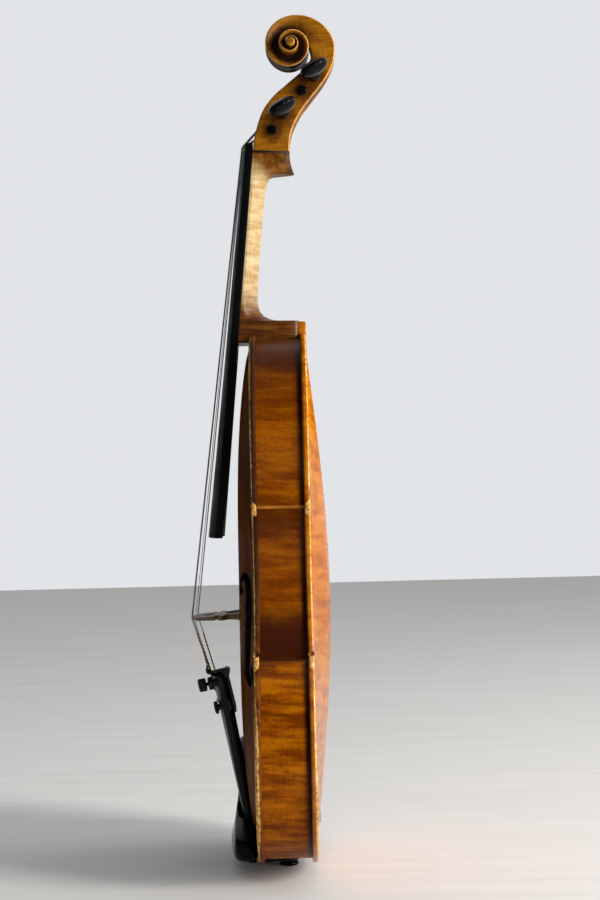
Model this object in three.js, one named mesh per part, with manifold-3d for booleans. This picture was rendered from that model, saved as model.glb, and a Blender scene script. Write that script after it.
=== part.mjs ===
// A full-size violin, strung and set up, standing on its end button with the scroll up.
// Millimetres. +Z runs up the instrument to the scroll, the belly and strings face -X,
// the treble side is -Y and the bass side is +Y. Lengths up the body are measured from
// the lower edge of the plates, and the whole group is lifted at the end so that the
// end button's flat face lies on Z = 0.
import * as THREE from "three";
import { mergeVertices } from "three/addons/utils/BufferGeometryUtils.js";
import Module from "manifold-3d";

const wasm = await Module();
wasm.setup();

// ---------------------------------------------------------------- driving dimensions
const GAP = 0.3; // air left between pieces that touch
const BODY_LENGTH = 356;
const RIB_HEIGHT_BOTTOM = 31.5;
const RIB_HEIGHT_TOP = 30;
const RIB_THICKNESS = 1.2;
const OVERHANG = 2.8; // plates stand this far outside the ribs
const EDGE_HEIGHT = 4;
const PLATE_THICKNESS = 3;
const SPINE_ENDS = [48, 308]; // the arching's crown line
const LINING = { depth: 2, height: 7 };

const NUT_Z = 484;
const FINGERBOARD = { length: 265.4, nutHalf: 12, endHalf: 21, edge: 4.8, radius: 42 };
const NECK_X_AT_NUT = -12.6; // glue face of neck and fingerboard
const NECK_SLOPE = 0.1; // the glue face moves this far forward per mm down

const BRIDGE = { z: 165.7, height: 33, foot: 4.4, top: 1.5, crown: 42 };
const STRING_NAMES = ["g", "d", "a", "e"];
const STRING_RADIUS = { g: 0.42, d: 0.42, a: 0.36, e: 0.24 };
const STRING_SIDE = { g: 1, d: 1 / 3, a: -1 / 3, e: -1 };
const NUT_SPREAD = 8.2;
const BRIDGE_SPREAD = 16.8;
const TAIL_SPREAD = 14.5;

const TAIL = { x: -49.8, z: 126.06, angle: -0.197, length: 106, halfTop: 20.5, halfEnd: 10.5 };
const BUTTON = { head: 6.6, protrusion: 8.5, shank: 3.6, groove: 4.6 };

// peg centre (x, z), the side its head is on, and where its string winds
const PEGS = {
  g: { x: 0.6, z: 494.7, side: 1, wind: 3.4 },
  e: { x: 7.7, z: 505.2, side: -1, wind: -3.4 },
  d: { x: 21.4, z: 521.4, side: 1, wind: 2.4 },
  a: { x: 29.4, z: 530.9, side: -1, wind: -2.4 },
};
const PEG_TURN = THREE.MathUtils.degToRad(28); // rise of the thumb pieces above level

// ---------------------------------------------------------------- materials
const finish = (color, roughness, metalness = 0) =>
  new THREE.MeshStandardMaterial({ color, roughness, metalness });
const MATERIAL = {
  spruce: finish(0xb8702c, 0.4),
  maple: finish(0x9a5418, 0.35),
  palemaple: finish(0xd9a55c, 0.5),
  ebony: finish(0x121212, 0.35),
  blackfitting: finish(0x0c0c0d, 0.4),
  barewood: finish(0xcfae7a, 0.7),
  bridgewood: finish(0xa88456, 0.6),
  steel: finish(0xb9bcc0, 0.3, 1),
  blackmetal: finish(0x1a1a1c, 0.35, 1),
  string: finish(0xc4c4c0, 0.3, 1),
  gut: finish(0x1a1a1a, 0.5),
  cork: finish(0xa9794a, 0.9),
};

// ---------------------------------------------------------------- solids
function toSolid(geometry) {
  const bare = new THREE.BufferGeometry();
  bare.setAttribute("position", geometry.getAttribute("position").clone());
  if (geometry.index) bare.setIndex(geometry.index.clone());
  const merged = mergeVertices(bare, 1e-4);
  const solid = new wasm.Manifold(
    new wasm.Mesh({
      numProp: 3,
      vertProperties: merged.attributes.position.array,
      triVerts: new Uint32Array(merged.index.array),
    }),
  );
  return solid;
}

function toGeometry(solid) {
  const mesh = solid.getMesh();
  const position = new Float32Array(mesh.numVert * 3);
  for (let i = 0; i < mesh.numVert; i++)
    for (let k = 0; k < 3; k++) position[3 * i + k] = mesh.vertProperties[mesh.numProp * i + k];
  return new THREE.BufferGeometry()
    .setAttribute("position", new THREE.BufferAttribute(position, 3))
    .setIndex(new THREE.BufferAttribute(mesh.triVerts, 1));
}

const cut = (geometry, ...tools) =>
  toGeometry(tools.reduce((solid, tool) => solid.subtract(toSolid(tool)), toSolid(geometry)));
const join = (first, ...others) =>
  toGeometry(others.reduce((solid, other) => solid.add(toSolid(other)), toSolid(first)));
const common = (a, b) => toGeometry(toSolid(a).intersect(toSolid(b)));
const moved = (geometry, x, y, z) => geometry.clone().translate(x, y, z);

const v3 = (x, y, z) => new THREE.Vector3(x, y, z);
const mix = THREE.MathUtils.lerp;

// A closed solid through rings of equal point counts, capped with fans about their centres.
function loft(rings) {
  const count = rings[0].length;
  const points = rings.flat();
  const faces = [];
  for (let i = 0; i + 1 < rings.length; i++)
    for (let j = 0; j < count; j++) {
      const a = i * count + j;
      const b = i * count + ((j + 1) % count);
      faces.push(a, b, b + count, a, b + count, a + count);
    }
  const centre = (ring) => ring.reduce((sum, p) => sum.add(p), v3(0, 0, 0)).divideScalar(count);
  const last = (rings.length - 1) * count;
  points.push(centre(rings[0]), centre(rings.at(-1)));
  for (let j = 0; j < count; j++) {
    const k = (j + 1) % count;
    faces.push(points.length - 2, k, j, points.length - 1, last + j, last + k);
  }
  return facing(points, faces);
}

// A BufferGeometry from points and triangles, turned so that its faces point out.
function facing(points, faces) {
  let volume = 0;
  for (let i = 0; i < faces.length; i += 3) {
    const [a, b, c] = [points[faces[i]], points[faces[i + 1]], points[faces[i + 2]]];
    volume += a.dot(b.clone().cross(c));
  }
  if (volume < 0)
    for (let i = 0; i < faces.length; i += 3) [faces[i + 1], faces[i + 2]] = [faces[i + 2], faces[i + 1]];
  return new THREE.BufferGeometry()
    .setAttribute("position", new THREE.Float32BufferAttribute(points.flatMap((p) => p.toArray()), 3))
    .setIndex(faces);
}

// A round bar of constant radius through points.
function sweep(path, radius, sides = 6) {
  const rings = path.map((point, i) => {
    const before = path[Math.max(0, i - 1)];
    const after = path[Math.min(path.length - 1, i + 1)];
    const along = after.clone().sub(before).normalize();
    const aside = v3(0, 1, 0).addScaledVector(along, -along.y);
    if (aside.length() < 0.2) aside.set(1, 0, 0).addScaledVector(along, -along.x);
    aside.normalize();
    const other = along.clone().cross(aside);
    return Array.from({ length: sides }, (_, k) => {
      const turn = (2 * Math.PI * k) / sides;
      return point
        .clone()
        .addScaledVector(aside, radius * Math.cos(turn))
        .addScaledVector(other, radius * Math.sin(turn));
    });
  });
  return loft(rings);
}

// Prisms: a shape drawn in two of the axes, and two limits along the third.
const shapeOf = (points) => new THREE.Shape(points.map(([a, b]) => new THREE.Vector2(a, b)));
function prism(shape, depth) {
  return new THREE.ExtrudeGeometry(shape, { depth, bevelEnabled: false, curveSegments: 8, steps: 1 });
}
const basis = (a, b, c) => new THREE.Matrix4().makeBasis(v3(...a), v3(...b), v3(...c));
const ALONG_X = basis([0, 1, 0], [0, 0, 1], [1, 0, 0]); // shape in (y, z)
const ALONG_Y = basis([1, 0, 0], [0, 0, 1], [0, -1, 0]); // shape in (x, z)
const prismX = (shape, x0, x1) => prism(shape, x1 - x0).applyMatrix4(ALONG_X).translate(x0, 0, 0);
const prismY = (shape, y0, y1) => prism(shape, y1 - y0).applyMatrix4(ALONG_Y).translate(0, y1, 0);
const prismZ = (shape, z0, z1) => prism(shape, z1 - z0).translate(0, 0, z0);
const box = (x0, x1, y0, y1, z0, z1) =>
  new THREE.BoxGeometry(x1 - x0, y1 - y0, z1 - z0).translate((x0 + x1) / 2, (y0 + y1) / 2, (z0 + z1) / 2);
const rodX = (r, x0, x1, y, z, sides = 16) =>
  new THREE.CylinderGeometry(r, r, x1 - x0, sides).rotateZ(Math.PI / 2).translate((x0 + x1) / 2, y, z);
const rodY = (r, y0, y1, x, z, sides = 16) =>
  new THREE.CylinderGeometry(r, r, y1 - y0, sides).translate(x, (y0 + y1) / 2, z);
const rodZ = (r, z0, z1, x, y, sides = 16) =>
  new THREE.CylinderGeometry(r, r, z1 - z0, sides).rotateX(Math.PI / 2).translate(x, y, (z0 + z1) / 2);
// A turned piece: profile points (radius, height along Y).
const turned = (profile, sides = 16) =>
  new THREE.LatheGeometry(profile.map(([r, h]) => new THREE.Vector2(r, h)), sides);

// ---------------------------------------------------------------- scene tree
const violin = new THREE.Group();
const body = new THREE.Group(); // Z = 0 at the plates' lower edge
violin.add(body);
function piece(name, geometry, material, parent = body) {
  const mesh = new THREE.Mesh(geometry, material);
  mesh.name = name;
  parent.add(mesh);
  return geometry;
}

// ---------------------------------------------------------------- outline of the body
// Half outline as Bezier stretches (half width, height), from bottom centre to top centre.
const OUTLINE = {
  lower: [
    { p: [[0, 0], [56, 0], [104, 22], [104, 74]], n: 8 },
    { p: [[104, 74], [104, 96], [92.5, 108], [91.8, 125]], n: 4 },
    { p: [[91.8, 125], [91.6, 131], [93, 136], [95, 140]], n: 2 },
  ],
  middle: [
    { p: [[90.8, 147], [76, 142], [56.5, 158], [54.6, 190]], n: 6 },
    { p: [[54.6, 190], [53.6, 212], [60, 231], [73.6, 235]], n: 5 },
  ],
  upper: [
    { p: [[78, 240.5], [76.2, 245], [75.6, 250], [76.4, 256]], n: 2 },
    { p: [[76.4, 256], [78, 268], [84, 276], [84, 292]], n: 3 },
    { p: [[84, 292], [84, 330], [46, 356], [0, 356]], n: 7 },
  ],
};

function bezier([a, b, c, d], t) {
  const u = 1 - t;
  const at = (k) => u * u * u * a[k] + 3 * u * u * t * b[k] + 3 * u * t * t * c[k] + t * t * t * d[k];
  const slope = (k) => 3 * (u * u * (b[k] - a[k]) + 2 * u * t * (c[k] - b[k]) + t * t * (d[k] - c[k]));
  const along = new THREE.Vector2(slope(0), slope(1)).normalize();
  return { w: at(0), z: at(1), inward: [-along.y, along.x] };
}

// The points of one bout: [{w, z, inward}], where inward is the unit normal into the body.
function boutPoints(name) {
  return OUTLINE[name].flatMap(({ p, n }, part) =>
    Array.from({ length: n + (part === 0 ? 1 : 0) }, (_, i) =>
      bezier(p, (i + (part === 0 ? 0 : 1)) / n),
    ),
  );
}
const BOUTS = { lower: boutPoints("lower"), middle: boutPoints("middle"), upper: boutPoints("upper") };
const HALF = [...BOUTS.lower, ...BOUTS.middle, ...BOUTS.upper];

// Each outline point's partner on the crown line, spaced by distance along the outline.
const travelled = [0];
for (let i = 1; i < HALF.length; i++)
  travelled.push(travelled[i - 1] + Math.hypot(HALF[i].w - HALF[i - 1].w, HALF[i].z - HALF[i - 1].z));
const SPINE = travelled.map((d) => mix(SPINE_ENDS[0], SPINE_ENDS[1], d / travelled.at(-1)));

// ---------------------------------------------------------------- plates
const BACK_PLANE = RIB_HEIGHT_BOTTOM / 2;
const bellyPlane = (z) => BACK_PLANE - mix(RIB_HEIGHT_BOTTOM, RIB_HEIGHT_TOP, z / BODY_LENGTH);
// Each plate's glue plane, the way it faces, and how far its crown line rises above the edge:
// the belly's arching is long and flat, the back's falls away steadily from its middle.
const PLATE = {
  belly: { plane: bellyPlane, out: -1, rise: (z) => 10.5 * (1 - Math.abs(2 * z / BODY_LENGTH - 1) ** 3.2) },
  back: { plane: () => BACK_PLANE, out: 1, rise: (z) => 12.6 * Math.sin((Math.PI * (z - 8)) / 340) ** 1.1 },
};

const crossArch = (s) => 0.5 - 0.5 * Math.cos(Math.PI * s ** 0.85);
const CHANNEL = { s: 0.05, dip: 0.5 };
// Height of the outer surface above the glue plane, s from 0 at the edge to 1 at the crown.
function outerHeight(rise, s, spineZ) {
  const dip = CHANNEL.dip * Math.max(0, 1 - Math.abs(s / CHANNEL.s - 1));
  return EDGE_HEIGHT + rise(spineZ) * crossArch(s) - dip;
}
const OUTER_STEPS = [0, 0.05, 0.16, 0.3, 0.48, 0.72, 1];
const INNER_STEPS = [1, 0.6, 0.3];
const FLAT_STEPS = [0.16, 0];

function plateGeometry({ plane, out, rise }) {
  const outer = (s, z) => outerHeight(rise, s, z);
  const full = [...HALF.map((p, i) => [p, i, 1])];
  for (let i = HALF.length - 2; i > 0; i--) full.push([HALF[i], i, -1]);
  const ring = (s, height) =>
    full.map(([p, i, side]) => {
      const z = mix(p.z, SPINE[i], s);
      return v3(plane(z) + out * height(s, SPINE[i]), side * mix(p.w, 0, s), z);
    });
  const rings = [
    ...OUTER_STEPS.toReversed().map((s) => ring(s, outer)),
    ...FLAT_STEPS.toReversed().map((s) => ring(s, () => 0)),
    ...INNER_STEPS.toReversed().map((s) => ring(s, (at, z) => outer(at, z) - PLATE_THICKNESS)),
  ];
  const count = full.length;
  const faces = [];
  for (let i = 0; i + 1 < rings.length; i++)
    for (let j = 0; j < count; j++) {
      const a = i * count + j;
      const b = i * count + ((j + 1) % count);
      faces.push(a, b, b + count, a, b + count, a + count);
    }
  const geometry = facing(rings.flat(), faces);
  return toGeometry(toSolid(dropSlivers(geometry)));
}

// Leaves out the triangles that collapse where a ring folds onto the crown line.
function dropSlivers(geometry) {
  const merged = mergeVertices(geometry, 1e-4);
  const faces = [];
  const index = merged.index.array;
  for (let i = 0; i < index.length; i += 3) {
    const [a, b, c] = [index[i], index[i + 1], index[i + 2]];
    if (a !== b && b !== c && a !== c) faces.push(a, b, c);
  }
  return merged.setIndex(faces);
}

// Height of a plate's outer surface above its glue plane at any (side, z).
function heightAt(rise, side, z) {
  let best = { miss: Infinity };
  for (let i = 0; i < HALF.length; i++) {
    const s = THREE.MathUtils.clamp(1 - Math.abs(side) / HALF[i].w, 0, 1);
    const miss = Math.abs(mix(HALF[i].z, SPINE[i], s) - z);
    if (miss < best.miss) best = { miss, height: outerHeight(rise, s, SPINE[i]) };
  }
  return best.height;
}
const bellyX = (side, z, depth = 0) => bellyPlane(z) - heightAt(PLATE.belly.rise, side, z) + depth;
const backX = (side, z, depth = 0) => BACK_PLANE + heightAt(PLATE.back.rise, side, z) - depth;

// The sound hole: a stem between two hooks that end in round eyes.
const HOLE_PATH = [
  [23.5, 183.6], [24.2, 189.8], [28.6, 193.4], [32.6, 190], [34.6, 179], [36.8, 158],
  [39, 138], [41.3, 127.4], [45.2, 123.6], [49.4, 127], [50, 132],
];
const HOLE_EYES = [[23.5, 183.6, 3.2], [50, 132, 3.9]];
const HOLE_STEPS = 12;
function soundHoleCutter(side) {
  const line = new THREE.SplineCurve(HOLE_PATH.map(([w, z]) => new THREE.Vector2(side * w, z)));
  const edge = (t, hand) => {
    const half = 0.9 + 2.5 * Math.sin(Math.PI * t) ** 2;
    const along = line.getTangentAt(t);
    const at = line.getPointAt(t);
    return [at.x - hand * half * along.y, at.y + hand * half * along.x];
  };
  const steps = Array.from({ length: HOLE_STEPS + 1 }, (_, i) => i / HOLE_STEPS);
  const outline = [...steps.map((t) => edge(t, 1)), ...steps.toReversed().map((t) => edge(t, -1))];
  const eyes = HOLE_EYES.map(([w, z, r]) => rodX(r, -45, -5, side * w, z, 10));
  return join(prismX(shapeOf(outline), -45, -5), ...eyes);
}

// ---------------------------------------------------------------- neck, heel and head
const glueX = (z) => NECK_X_AT_NUT - NECK_SLOPE * (NUT_Z - z);
const boardHalf = (z) =>
  mix(FINGERBOARD.nutHalf, FINGERBOARD.endHalf, (NUT_Z - z) / FINGERBOARD.length);
const HEEL = { bottom: 350, halfFront: 16.5, halfBack: 11.2 };

// Sections of the neck: [z, x of the back of the neck, half width at the back as a share].
const NECK_SECTIONS = [
  [HEEL.bottom, 15.2, 0.68], [356, 15.2, 0.68], [363.6, 15.2, 0.68], [364.4, 4, 0.66], [365.9, -5, 0.62],
  [369, -8.8, 0.56], [375, -11.4, 0.5], [384, -12, 0.46], [410, -10, 0.46], [437, -7.3, 0.46],
  [452, -5.6, 0.46], [459, -4.2, 0.5], [463.5, -1.6, 0.6], [465.4, 2.5, 0.72], [466.2, 13.4, 0.86],
  [468.3, 14, 0.92], [474.4, 12.2, 0.96], [479.6, 11.8, 0.97],
];
const ARC_POINTS = 9;
function neckRing([z, back, share]) {
  const front = glueX(z);
  const half = boardHalf(z) - 0.2;
  const points = [v3(front, half, z)];
  const bulge = share > 0.6 ? 0.25 : 0.5; // a rounder back along the handle, flatter at heel and chin
  for (let i = 0; i <= ARC_POINTS; i++) {
    const turn = (Math.PI * i) / ARC_POINTS;
    const across = Math.sign(Math.cos(turn)) * Math.abs(Math.cos(turn)) ** (bulge * 2);
    const deep = Math.sin(turn) ** (bulge * 1.6);
    const width = mix(half, half * share * 1.05, deep);
    points.push(v3(mix(front + 2, back, deep), across * width, z));
  }
  points.push(v3(front, -half, z));
  return points;
}
const neckSolid = loft(NECK_SECTIONS.map(neckRing));

// The head in side view, in (x, z).
const HEAD_FRONT = [
  [-12.4, 483.5], [-11.6, 489], [-9, 499.6], [-5.2, 508.8], [1.8, 518], [10.8, 525.8], [21, 534.6],
];
const HEAD_BACK = [
  [11.8, 480.4], [12.4, 487], [14.1, 494.7], [20.2, 506.8], [28.4, 517.4], [35.5, 526.2], [40.5, 534],
  [43.3, 540.5], [44.6, 548.5],
];
const EYE = { x: 14.4, z: 552.9 };
const cheekHalf = (z) => 12.4 - (z - NUT_Z) * 0.062;

// The volute's spiral: radius from the eye against the angle turned, in quarter turns from
// straight back (+X), going over the top, down the front and under.
const SPIRAL = [30.2, 21, 17.2, 14.6, 12.3, 9.4, 8, 6.2, 5.1, 4.4, 3.1];
function spiralRadius(quarters) {
  const curve = new THREE.CatmullRomCurve3(SPIRAL.map((r, i) => v3(r, i, 0)), false, "centripetal");
  return curve.getPoint(Math.min(1, quarters / (SPIRAL.length - 1))).x;
}
const spiralPoint = (quarters) => {
  const r = spiralRadius(quarters);
  const turn = (quarters * Math.PI) / 2;
  return [EYE.x + r * Math.cos(turn), EYE.z + r * Math.sin(turn)];
};
const spiralArc = (from, to, steps) =>
  Array.from({ length: steps + 1 }, (_, i) => spiralPoint(mix(from, to, i / steps)));
const splinePoints = (points, count) =>
  new THREE.SplineCurve(points.map(([a, b]) => new THREE.Vector2(a, b)))
    .getPoints(count)
    .map((p) => [p.x, p.y]);

// A slab of the head whose half width follows a function of z.
function slab(outline, half) {
  const geometry = prismY(shapeOf(outline), -1, 1);
  const position = geometry.getAttribute("position");
  for (let i = 0; i < position.count; i++)
    position.setY(i, position.getY(i) * half(position.getZ(i)));
  return geometry;
}

const THROAT = [[27.4, 541], [29.2, 548], [28, 552.5]];
function headSolid() {
  const back = splinePoints(HEAD_BACK, 12);
  const over = spiralArc(0.06, 4.25, 24);
  const front = splinePoints(HEAD_FRONT, 10).toReversed();
  const outer = [...back, ...over, ...THROAT.toReversed(), ...front];
  const turns = [
    slab(spiralArc(3.1, 7.1, 15), () => 13.2),
    slab(spiralArc(5.6, 9.6, 12), () => 16.8),
    rodY(3.1, -20, 20, EYE.x, EYE.z, 12),
  ];
  const hollow = [
    [-13.2, 488], [0.5, 486.8], [8.2, 488.5], [10.8, 499], [16.2, 508.5], [25.2, 517.6], [33.6, 527.6],
    [36, 533.5], [33, 536.6], [22, 536.6], [8, 528.5], [-9, 511], [-14, 497],
  ];
  const cavity = slab(hollow, (z) => cheekHalf(z) - 4.4);
  const bores = Object.values(PEGS).map((peg) => pegShaft(peg, GAP));
  return cut(join(slab(outer, cheekHalf), ...turns), cavity, ...bores);
}

// ---------------------------------------------------------------- pegs
const PEG_SHAFT = { near: 3.85, far: 3.35 };
const PEG_REACH = 11; // from the cheek to the collar
const WIND_RADIUS = 3.9; // inside of the turns of string on a peg
// The tapered shaft, from its collar to 1.4 mm outside the far cheek.
function pegShaft(peg, grow) {
  const reach = cheekHalf(peg.z);
  const start = reach + PEG_REACH + 0.4;
  const end = -(reach + 1.4) - grow;
  const shaft = turned(
    [[0, end], [PEG_SHAFT.far + grow, end], [PEG_SHAFT.near + grow, start], [0, start]], 14);
  return shaft.rotateZ(peg.side > 0 ? 0 : Math.PI).translate(peg.x, 0, peg.z);
}
function pegSolid(peg) {
  const start = cheekHalf(peg.z) + PEG_REACH;
  const collar = turned([
    [0, start], [4.6, start], [5.2, start + 1.2], [4.4, start + 2.6], [3.4, start + 3.4], [3.1, start + 6.5],
    [0, start + 6.5]], 14);
  const thumb = new THREE.Shape();
  thumb.moveTo(-2.8, start + 4.6);
  thumb.bezierCurveTo(-8, start + 6.4, -10.4, start + 10, -10.2, start + 15);
  thumb.bezierCurveTo(-10, start + 21, -5, start + 25.4, 0, start + 25.6);
  thumb.bezierCurveTo(5, start + 25.4, 10, start + 21, 10.2, start + 15);
  thumb.bezierCurveTo(10.4, start + 10, 8, start + 6.4, 2.8, start + 4.6);
  const paddle = new THREE.ExtrudeGeometry(thumb, {
    depth: 3, bevelEnabled: true, bevelThickness: 2, bevelSize: 1.6, bevelOffset: -1.6, bevelSegments: 1,
    curveSegments: 3,
  }).translate(0, 0, -1.5);
  const head = join(collar, paddle).rotateY(-PEG_TURN).rotateZ(peg.side > 0 ? 0 : Math.PI);
  if (peg.side < 0) head.rotateY(-2 * PEG_TURN);
  return join(head.translate(peg.x, 0, peg.z), pegShaft(peg, 0));
}
function windings(peg, radius) {
  const [inner, outer, half] = [WIND_RADIUS, WIND_RADIUS + 2 * radius, 4 * radius];
  const profile = [
    [inner, -half], [outer, -half + radius], [inner + radius, 0], [outer, half - radius], [inner, half],
    [inner, -half],
  ];
  return turned(profile, 12).translate(peg.x, peg.wind, peg.z);
}

// ---------------------------------------------------------------- ribs, linings and blocks
// A strip standing inside the outline, from one offset to another, between two depths.
function strip(points, side, from, to, xFront, xBack) {
  const at = (p, offset) => [side * (p.w + offset * p.inward[0]), p.z + offset * p.inward[1]];
  return loft(
    points.map((p) => {
      const [ya, za] = at(p, from);
      const [yb, zb] = at(p, to);
      return [v3(xFront(za), ya, za), v3(xFront(zb), yb, zb), v3(xBack(zb), yb, zb), v3(xBack(za), ya, za)];
    }),
  );
}
const RIB_INSIDE = OVERHANG + RIB_THICKNESS;
const bellySide = (z) => bellyPlane(z) + GAP;
const backSide = () => BACK_PLANE - GAP;
const SIDES = [["bass", 1], ["treble", -1]];

// The neck's root, the end button and the saddle, grown by the gap, as cutting tools.
const NECK_SLOT = [[-17, 349.6], [17, 349.6], [17, 372], [-17, 372]];
const heelTool = prismX(shapeOf(NECK_SLOT), -60, 20);
const buttonTool = rodZ(BUTTON.shank + GAP, -20, 30, 0, 0);
const saddleTool = box(-32, bellyPlane(0) + 4.4, -17.4, 17.4, -8, 6.3);

function ribs() {
  for (const [name, side] of SIDES)
    for (const bout of ["lower", "middle", "upper"]) {
      const plain = strip(BOUTS[bout], side, OVERHANG, RIB_INSIDE, bellySide, backSide);
      const halves = box(-30, 30, side > 0 ? 0.15 : -200, side > 0 ? 200 : -0.15, -10, 400);
      const tools = { lower: [buttonTool, saddleTool], middle: [], upper: [heelTool] }[bout];
      piece(`rib_${bout}_${name}`, cut(common(plain, halves), ...tools), MATERIAL.maple);
    }
}

// The room inside the ribs, as one prism on each side of the middle.
function insideTool(offset) {
  const points = HALF.map((p) => [p.w + offset * p.inward[0], p.z + offset * p.inward[1]]);
  const clean = points.filter(([w]) => w > 0.01);
  const shape = shapeOf([[0, offset], ...clean, [0, BODY_LENGTH - offset]]);
  const right = prismX(shape, -40, 40);
  const mirrored = clean.map(([w, z]) => [-w, z]);
  const left = prismX(shapeOf([...mirrored, [0, BODY_LENGTH - offset], [0, offset]]), -40, 40);
  return join(right, left);
}
const slabBetweenPlates = (outline) => {
  const geometry = prismX(shapeOf(outline), 0, 1);
  const position = geometry.getAttribute("position");
  for (let i = 0; i < position.count; i++)
    position.setX(i, mix(bellySide(position.getZ(i)), backSide(), position.getX(i)));
  return geometry;
};
const BLOCKS = {
  upper: [[-26, 336], [26, 336], [26, 360], [-26, 360]],
  lower: [[-26, -5], [26, -5], [26, 20], [-26, 20]],
};
const CORNER_BLOCKS = {
  lower: [[80, 126], [100, 118], [100, 150], [72, 156]],
  upper: [[60, 222], [88, 232], [88, 266], [68, 256]],
};
function blocks() {
  const inside = insideTool(RIB_INSIDE + GAP);
  piece("upper_block", cut(common(slabBetweenPlates(BLOCKS.upper), inside), heelTool), MATERIAL.barewood);
  const lower = common(slabBetweenPlates(BLOCKS.lower), inside);
  piece("lower_block", cut(lower, buttonTool, saddleTool), MATERIAL.barewood);
  for (const [name, side] of SIDES)
    for (const [place, outline] of Object.entries(CORNER_BLOCKS)) {
      const corner = common(slabBetweenPlates(outline.map(([w, z]) => [side * w, z])), inside);
      piece(`corner_block_${place}_${name}`, corner, MATERIAL.barewood);
    }
}

// Each lining runs between two blocks: the bout, and the points of it that are used.
const LININGS = { lower: [2, 11], middle: [3, 9], upper: [4, 10] };
function linings() {
  const start = RIB_INSIDE + GAP;
  const bands = {
    belly: [bellySide, (z) => bellySide(z) + LINING.height],
    back: [() => backSide() - LINING.height, backSide],
  };
  for (const [name, side] of SIDES)
    for (const [bout, [first, last]] of Object.entries(LININGS))
      for (const [plate, band] of Object.entries(bands))
        piece(
          `lining_${plate}_${bout}_${name}`,
          strip(BOUTS[bout].slice(first, last + 1), side, start, start + LINING.depth, ...band),
          MATERIAL.barewood,
        );
}

// ---------------------------------------------------------------- the two plates and what they carry
const SADDLE_RISE = 6.2; // above the ribs
const SADDLE_SHAPE = [[-17, 5.9], [17, 5.9], [15.5, 0], [-15.5, 0]];
function plates() {
  const belly = plateGeometry(PLATE.belly);
  const neckSlot = prismX(shapeOf(NECK_SLOT), -60, 0);
  const cutBelly = cut(belly, soundHoleCutter(1), soundHoleCutter(-1), neckSlot,
    prismX(shapeOf([[-17.4, 6.3], [17.4, 6.3], [17.4, -4], [-17.4, -4]]), -40, 0));
  piece("belly", cutBelly, MATERIAL.spruce);

  const tab = new THREE.Shape();
  tab.moveTo(-10.8, 350);
  tab.lineTo(10.8, 350);
  tab.lineTo(10.8, 354.2);
  tab.absarc(0, 354.2, 10.8, 0, Math.PI, false);
  const back = join(plateGeometry(PLATE.back), prismX(tab, BACK_PLANE, BACK_PLANE + EDGE_HEIGHT));
  piece("back", back, MATERIAL.maple);
  return { belly, back };
}

// Bass bar: a tapering beam glued under the belly, a little bass side of the middle.
function bassBar(belly) {
  const ends = [50, 310];
  const steps = 12;
  const height = (t) => 2.5 + 9 * Math.sin(Math.PI * t) ** 0.8;
  const along = Array.from({ length: steps + 1 }, (_, i) => i / steps);
  const upper = along.map((t) => {
    const z = mix(ends[0], ends[1], t);
    return [bellyX(16.5, z, PLATE_THICKNESS / 2), z];
  });
  const lower = along.toReversed().map((t) => {
    const z = mix(ends[0], ends[1], t);
    return [bellyX(16.5, z, PLATE_THICKNESS) + height(t), z];
  });
  const bar = prismY(shapeOf([...upper, ...lower]), 14, 19.5);
  piece("bass_bar", cut(bar, moved(belly, GAP, 0, 0)), MATERIAL.barewood);
}

function soundPost(belly, back) {
  const [y, z] = [-17, 157.5];
  const post = rodX(3.1, bellyX(y, z, 1.5), backX(y, z, 1.5), y, z, 14);
  piece("sound_post", cut(post, moved(belly, GAP, 0, 0), moved(back, -GAP, 0, 0)), MATERIAL.barewood);
}

// ---------------------------------------------------------------- bridge
// Right half of the outline, (side, height above the belly's crown), from the arch to the top.
const BRIDGE_HALF = [
  [3.6, 9.2], [7.2, 7.2], [9.4, 4.2], [10.2, 1.6], [10.3, "foot"], [21, "foot"], [21.2, -0.6], [19.4, 1],
  [16.2, 2.6], [14.9, 5.2], [15.4, 8.2], [18.4, 9.8], [21.3, 11], [21.8, 13], [20.4, 14], [17.4, 12.6],
  [14.8, 13], [13.8, 15.2], [15, 17.6], [17.6, 17.8], [19.6, 16.8], [20.6, 18], [20, 21.6],
  [19, 25.6], [18.4, 28.6],
];
const HEART = [
  [0, 15.6], [3.2, 17.8], [5.6, 20.4], [5.4, 23], [3.4, 24.2], [1.4, 23.2], [0, 21.4], [-1.4, 23.2],
  [-3.4, 24.2], [-5.4, 23], [-5.6, 20.4], [-3.2, 17.8],
];
function bridge(belly) {
  const crownX = bellyX(0, BRIDGE.z);
  const foot = (side) => crownX - bellyX(side, BRIDGE.z) - PLATE_THICKNESS / 2;
  const right = BRIDGE_HALF.map(([side, h]) => [side, h === "foot" ? foot(side) : h]);
  const top = Array.from({ length: 7 }, (_, i) => {
    const side = mix(18.4, -18.4, (i + 1) / 8);
    return [side, BRIDGE.height - BRIDGE.crown + Math.sqrt(BRIDGE.crown ** 2 - side ** 2)];
  });
  const left = right.toReversed().map(([side, h]) => [-side, h]);
  const shape = shapeOf([...right, ...top, ...left]);
  shape.holes.push(new THREE.Path(HEART.map(([a, b]) => new THREE.Vector2(a, b))));
  const geometry = new THREE.ExtrudeGeometry(shape, { depth: 1, bevelEnabled: false });
  const position = geometry.getAttribute("position");
  for (let i = 0; i < position.count; i++) {
    const [side, h, depth] = [position.getX(i), position.getY(i), position.getZ(i)];
    const thick = mix(BRIDGE.foot, BRIDGE.top, THREE.MathUtils.clamp(h / BRIDGE.height, 0, 1));
    position.setXYZ(i, crownX - h, side, BRIDGE.z - BRIDGE.foot / 2 + depth * thick);
  }
  const solid = toSolid(geometry);
  const upright = solid.volume() < 0 ? flipped(geometry) : geometry;
  piece("bridge", cut(upright, moved(belly, -GAP, 0, 0)), MATERIAL.bridgewood);
}
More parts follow.
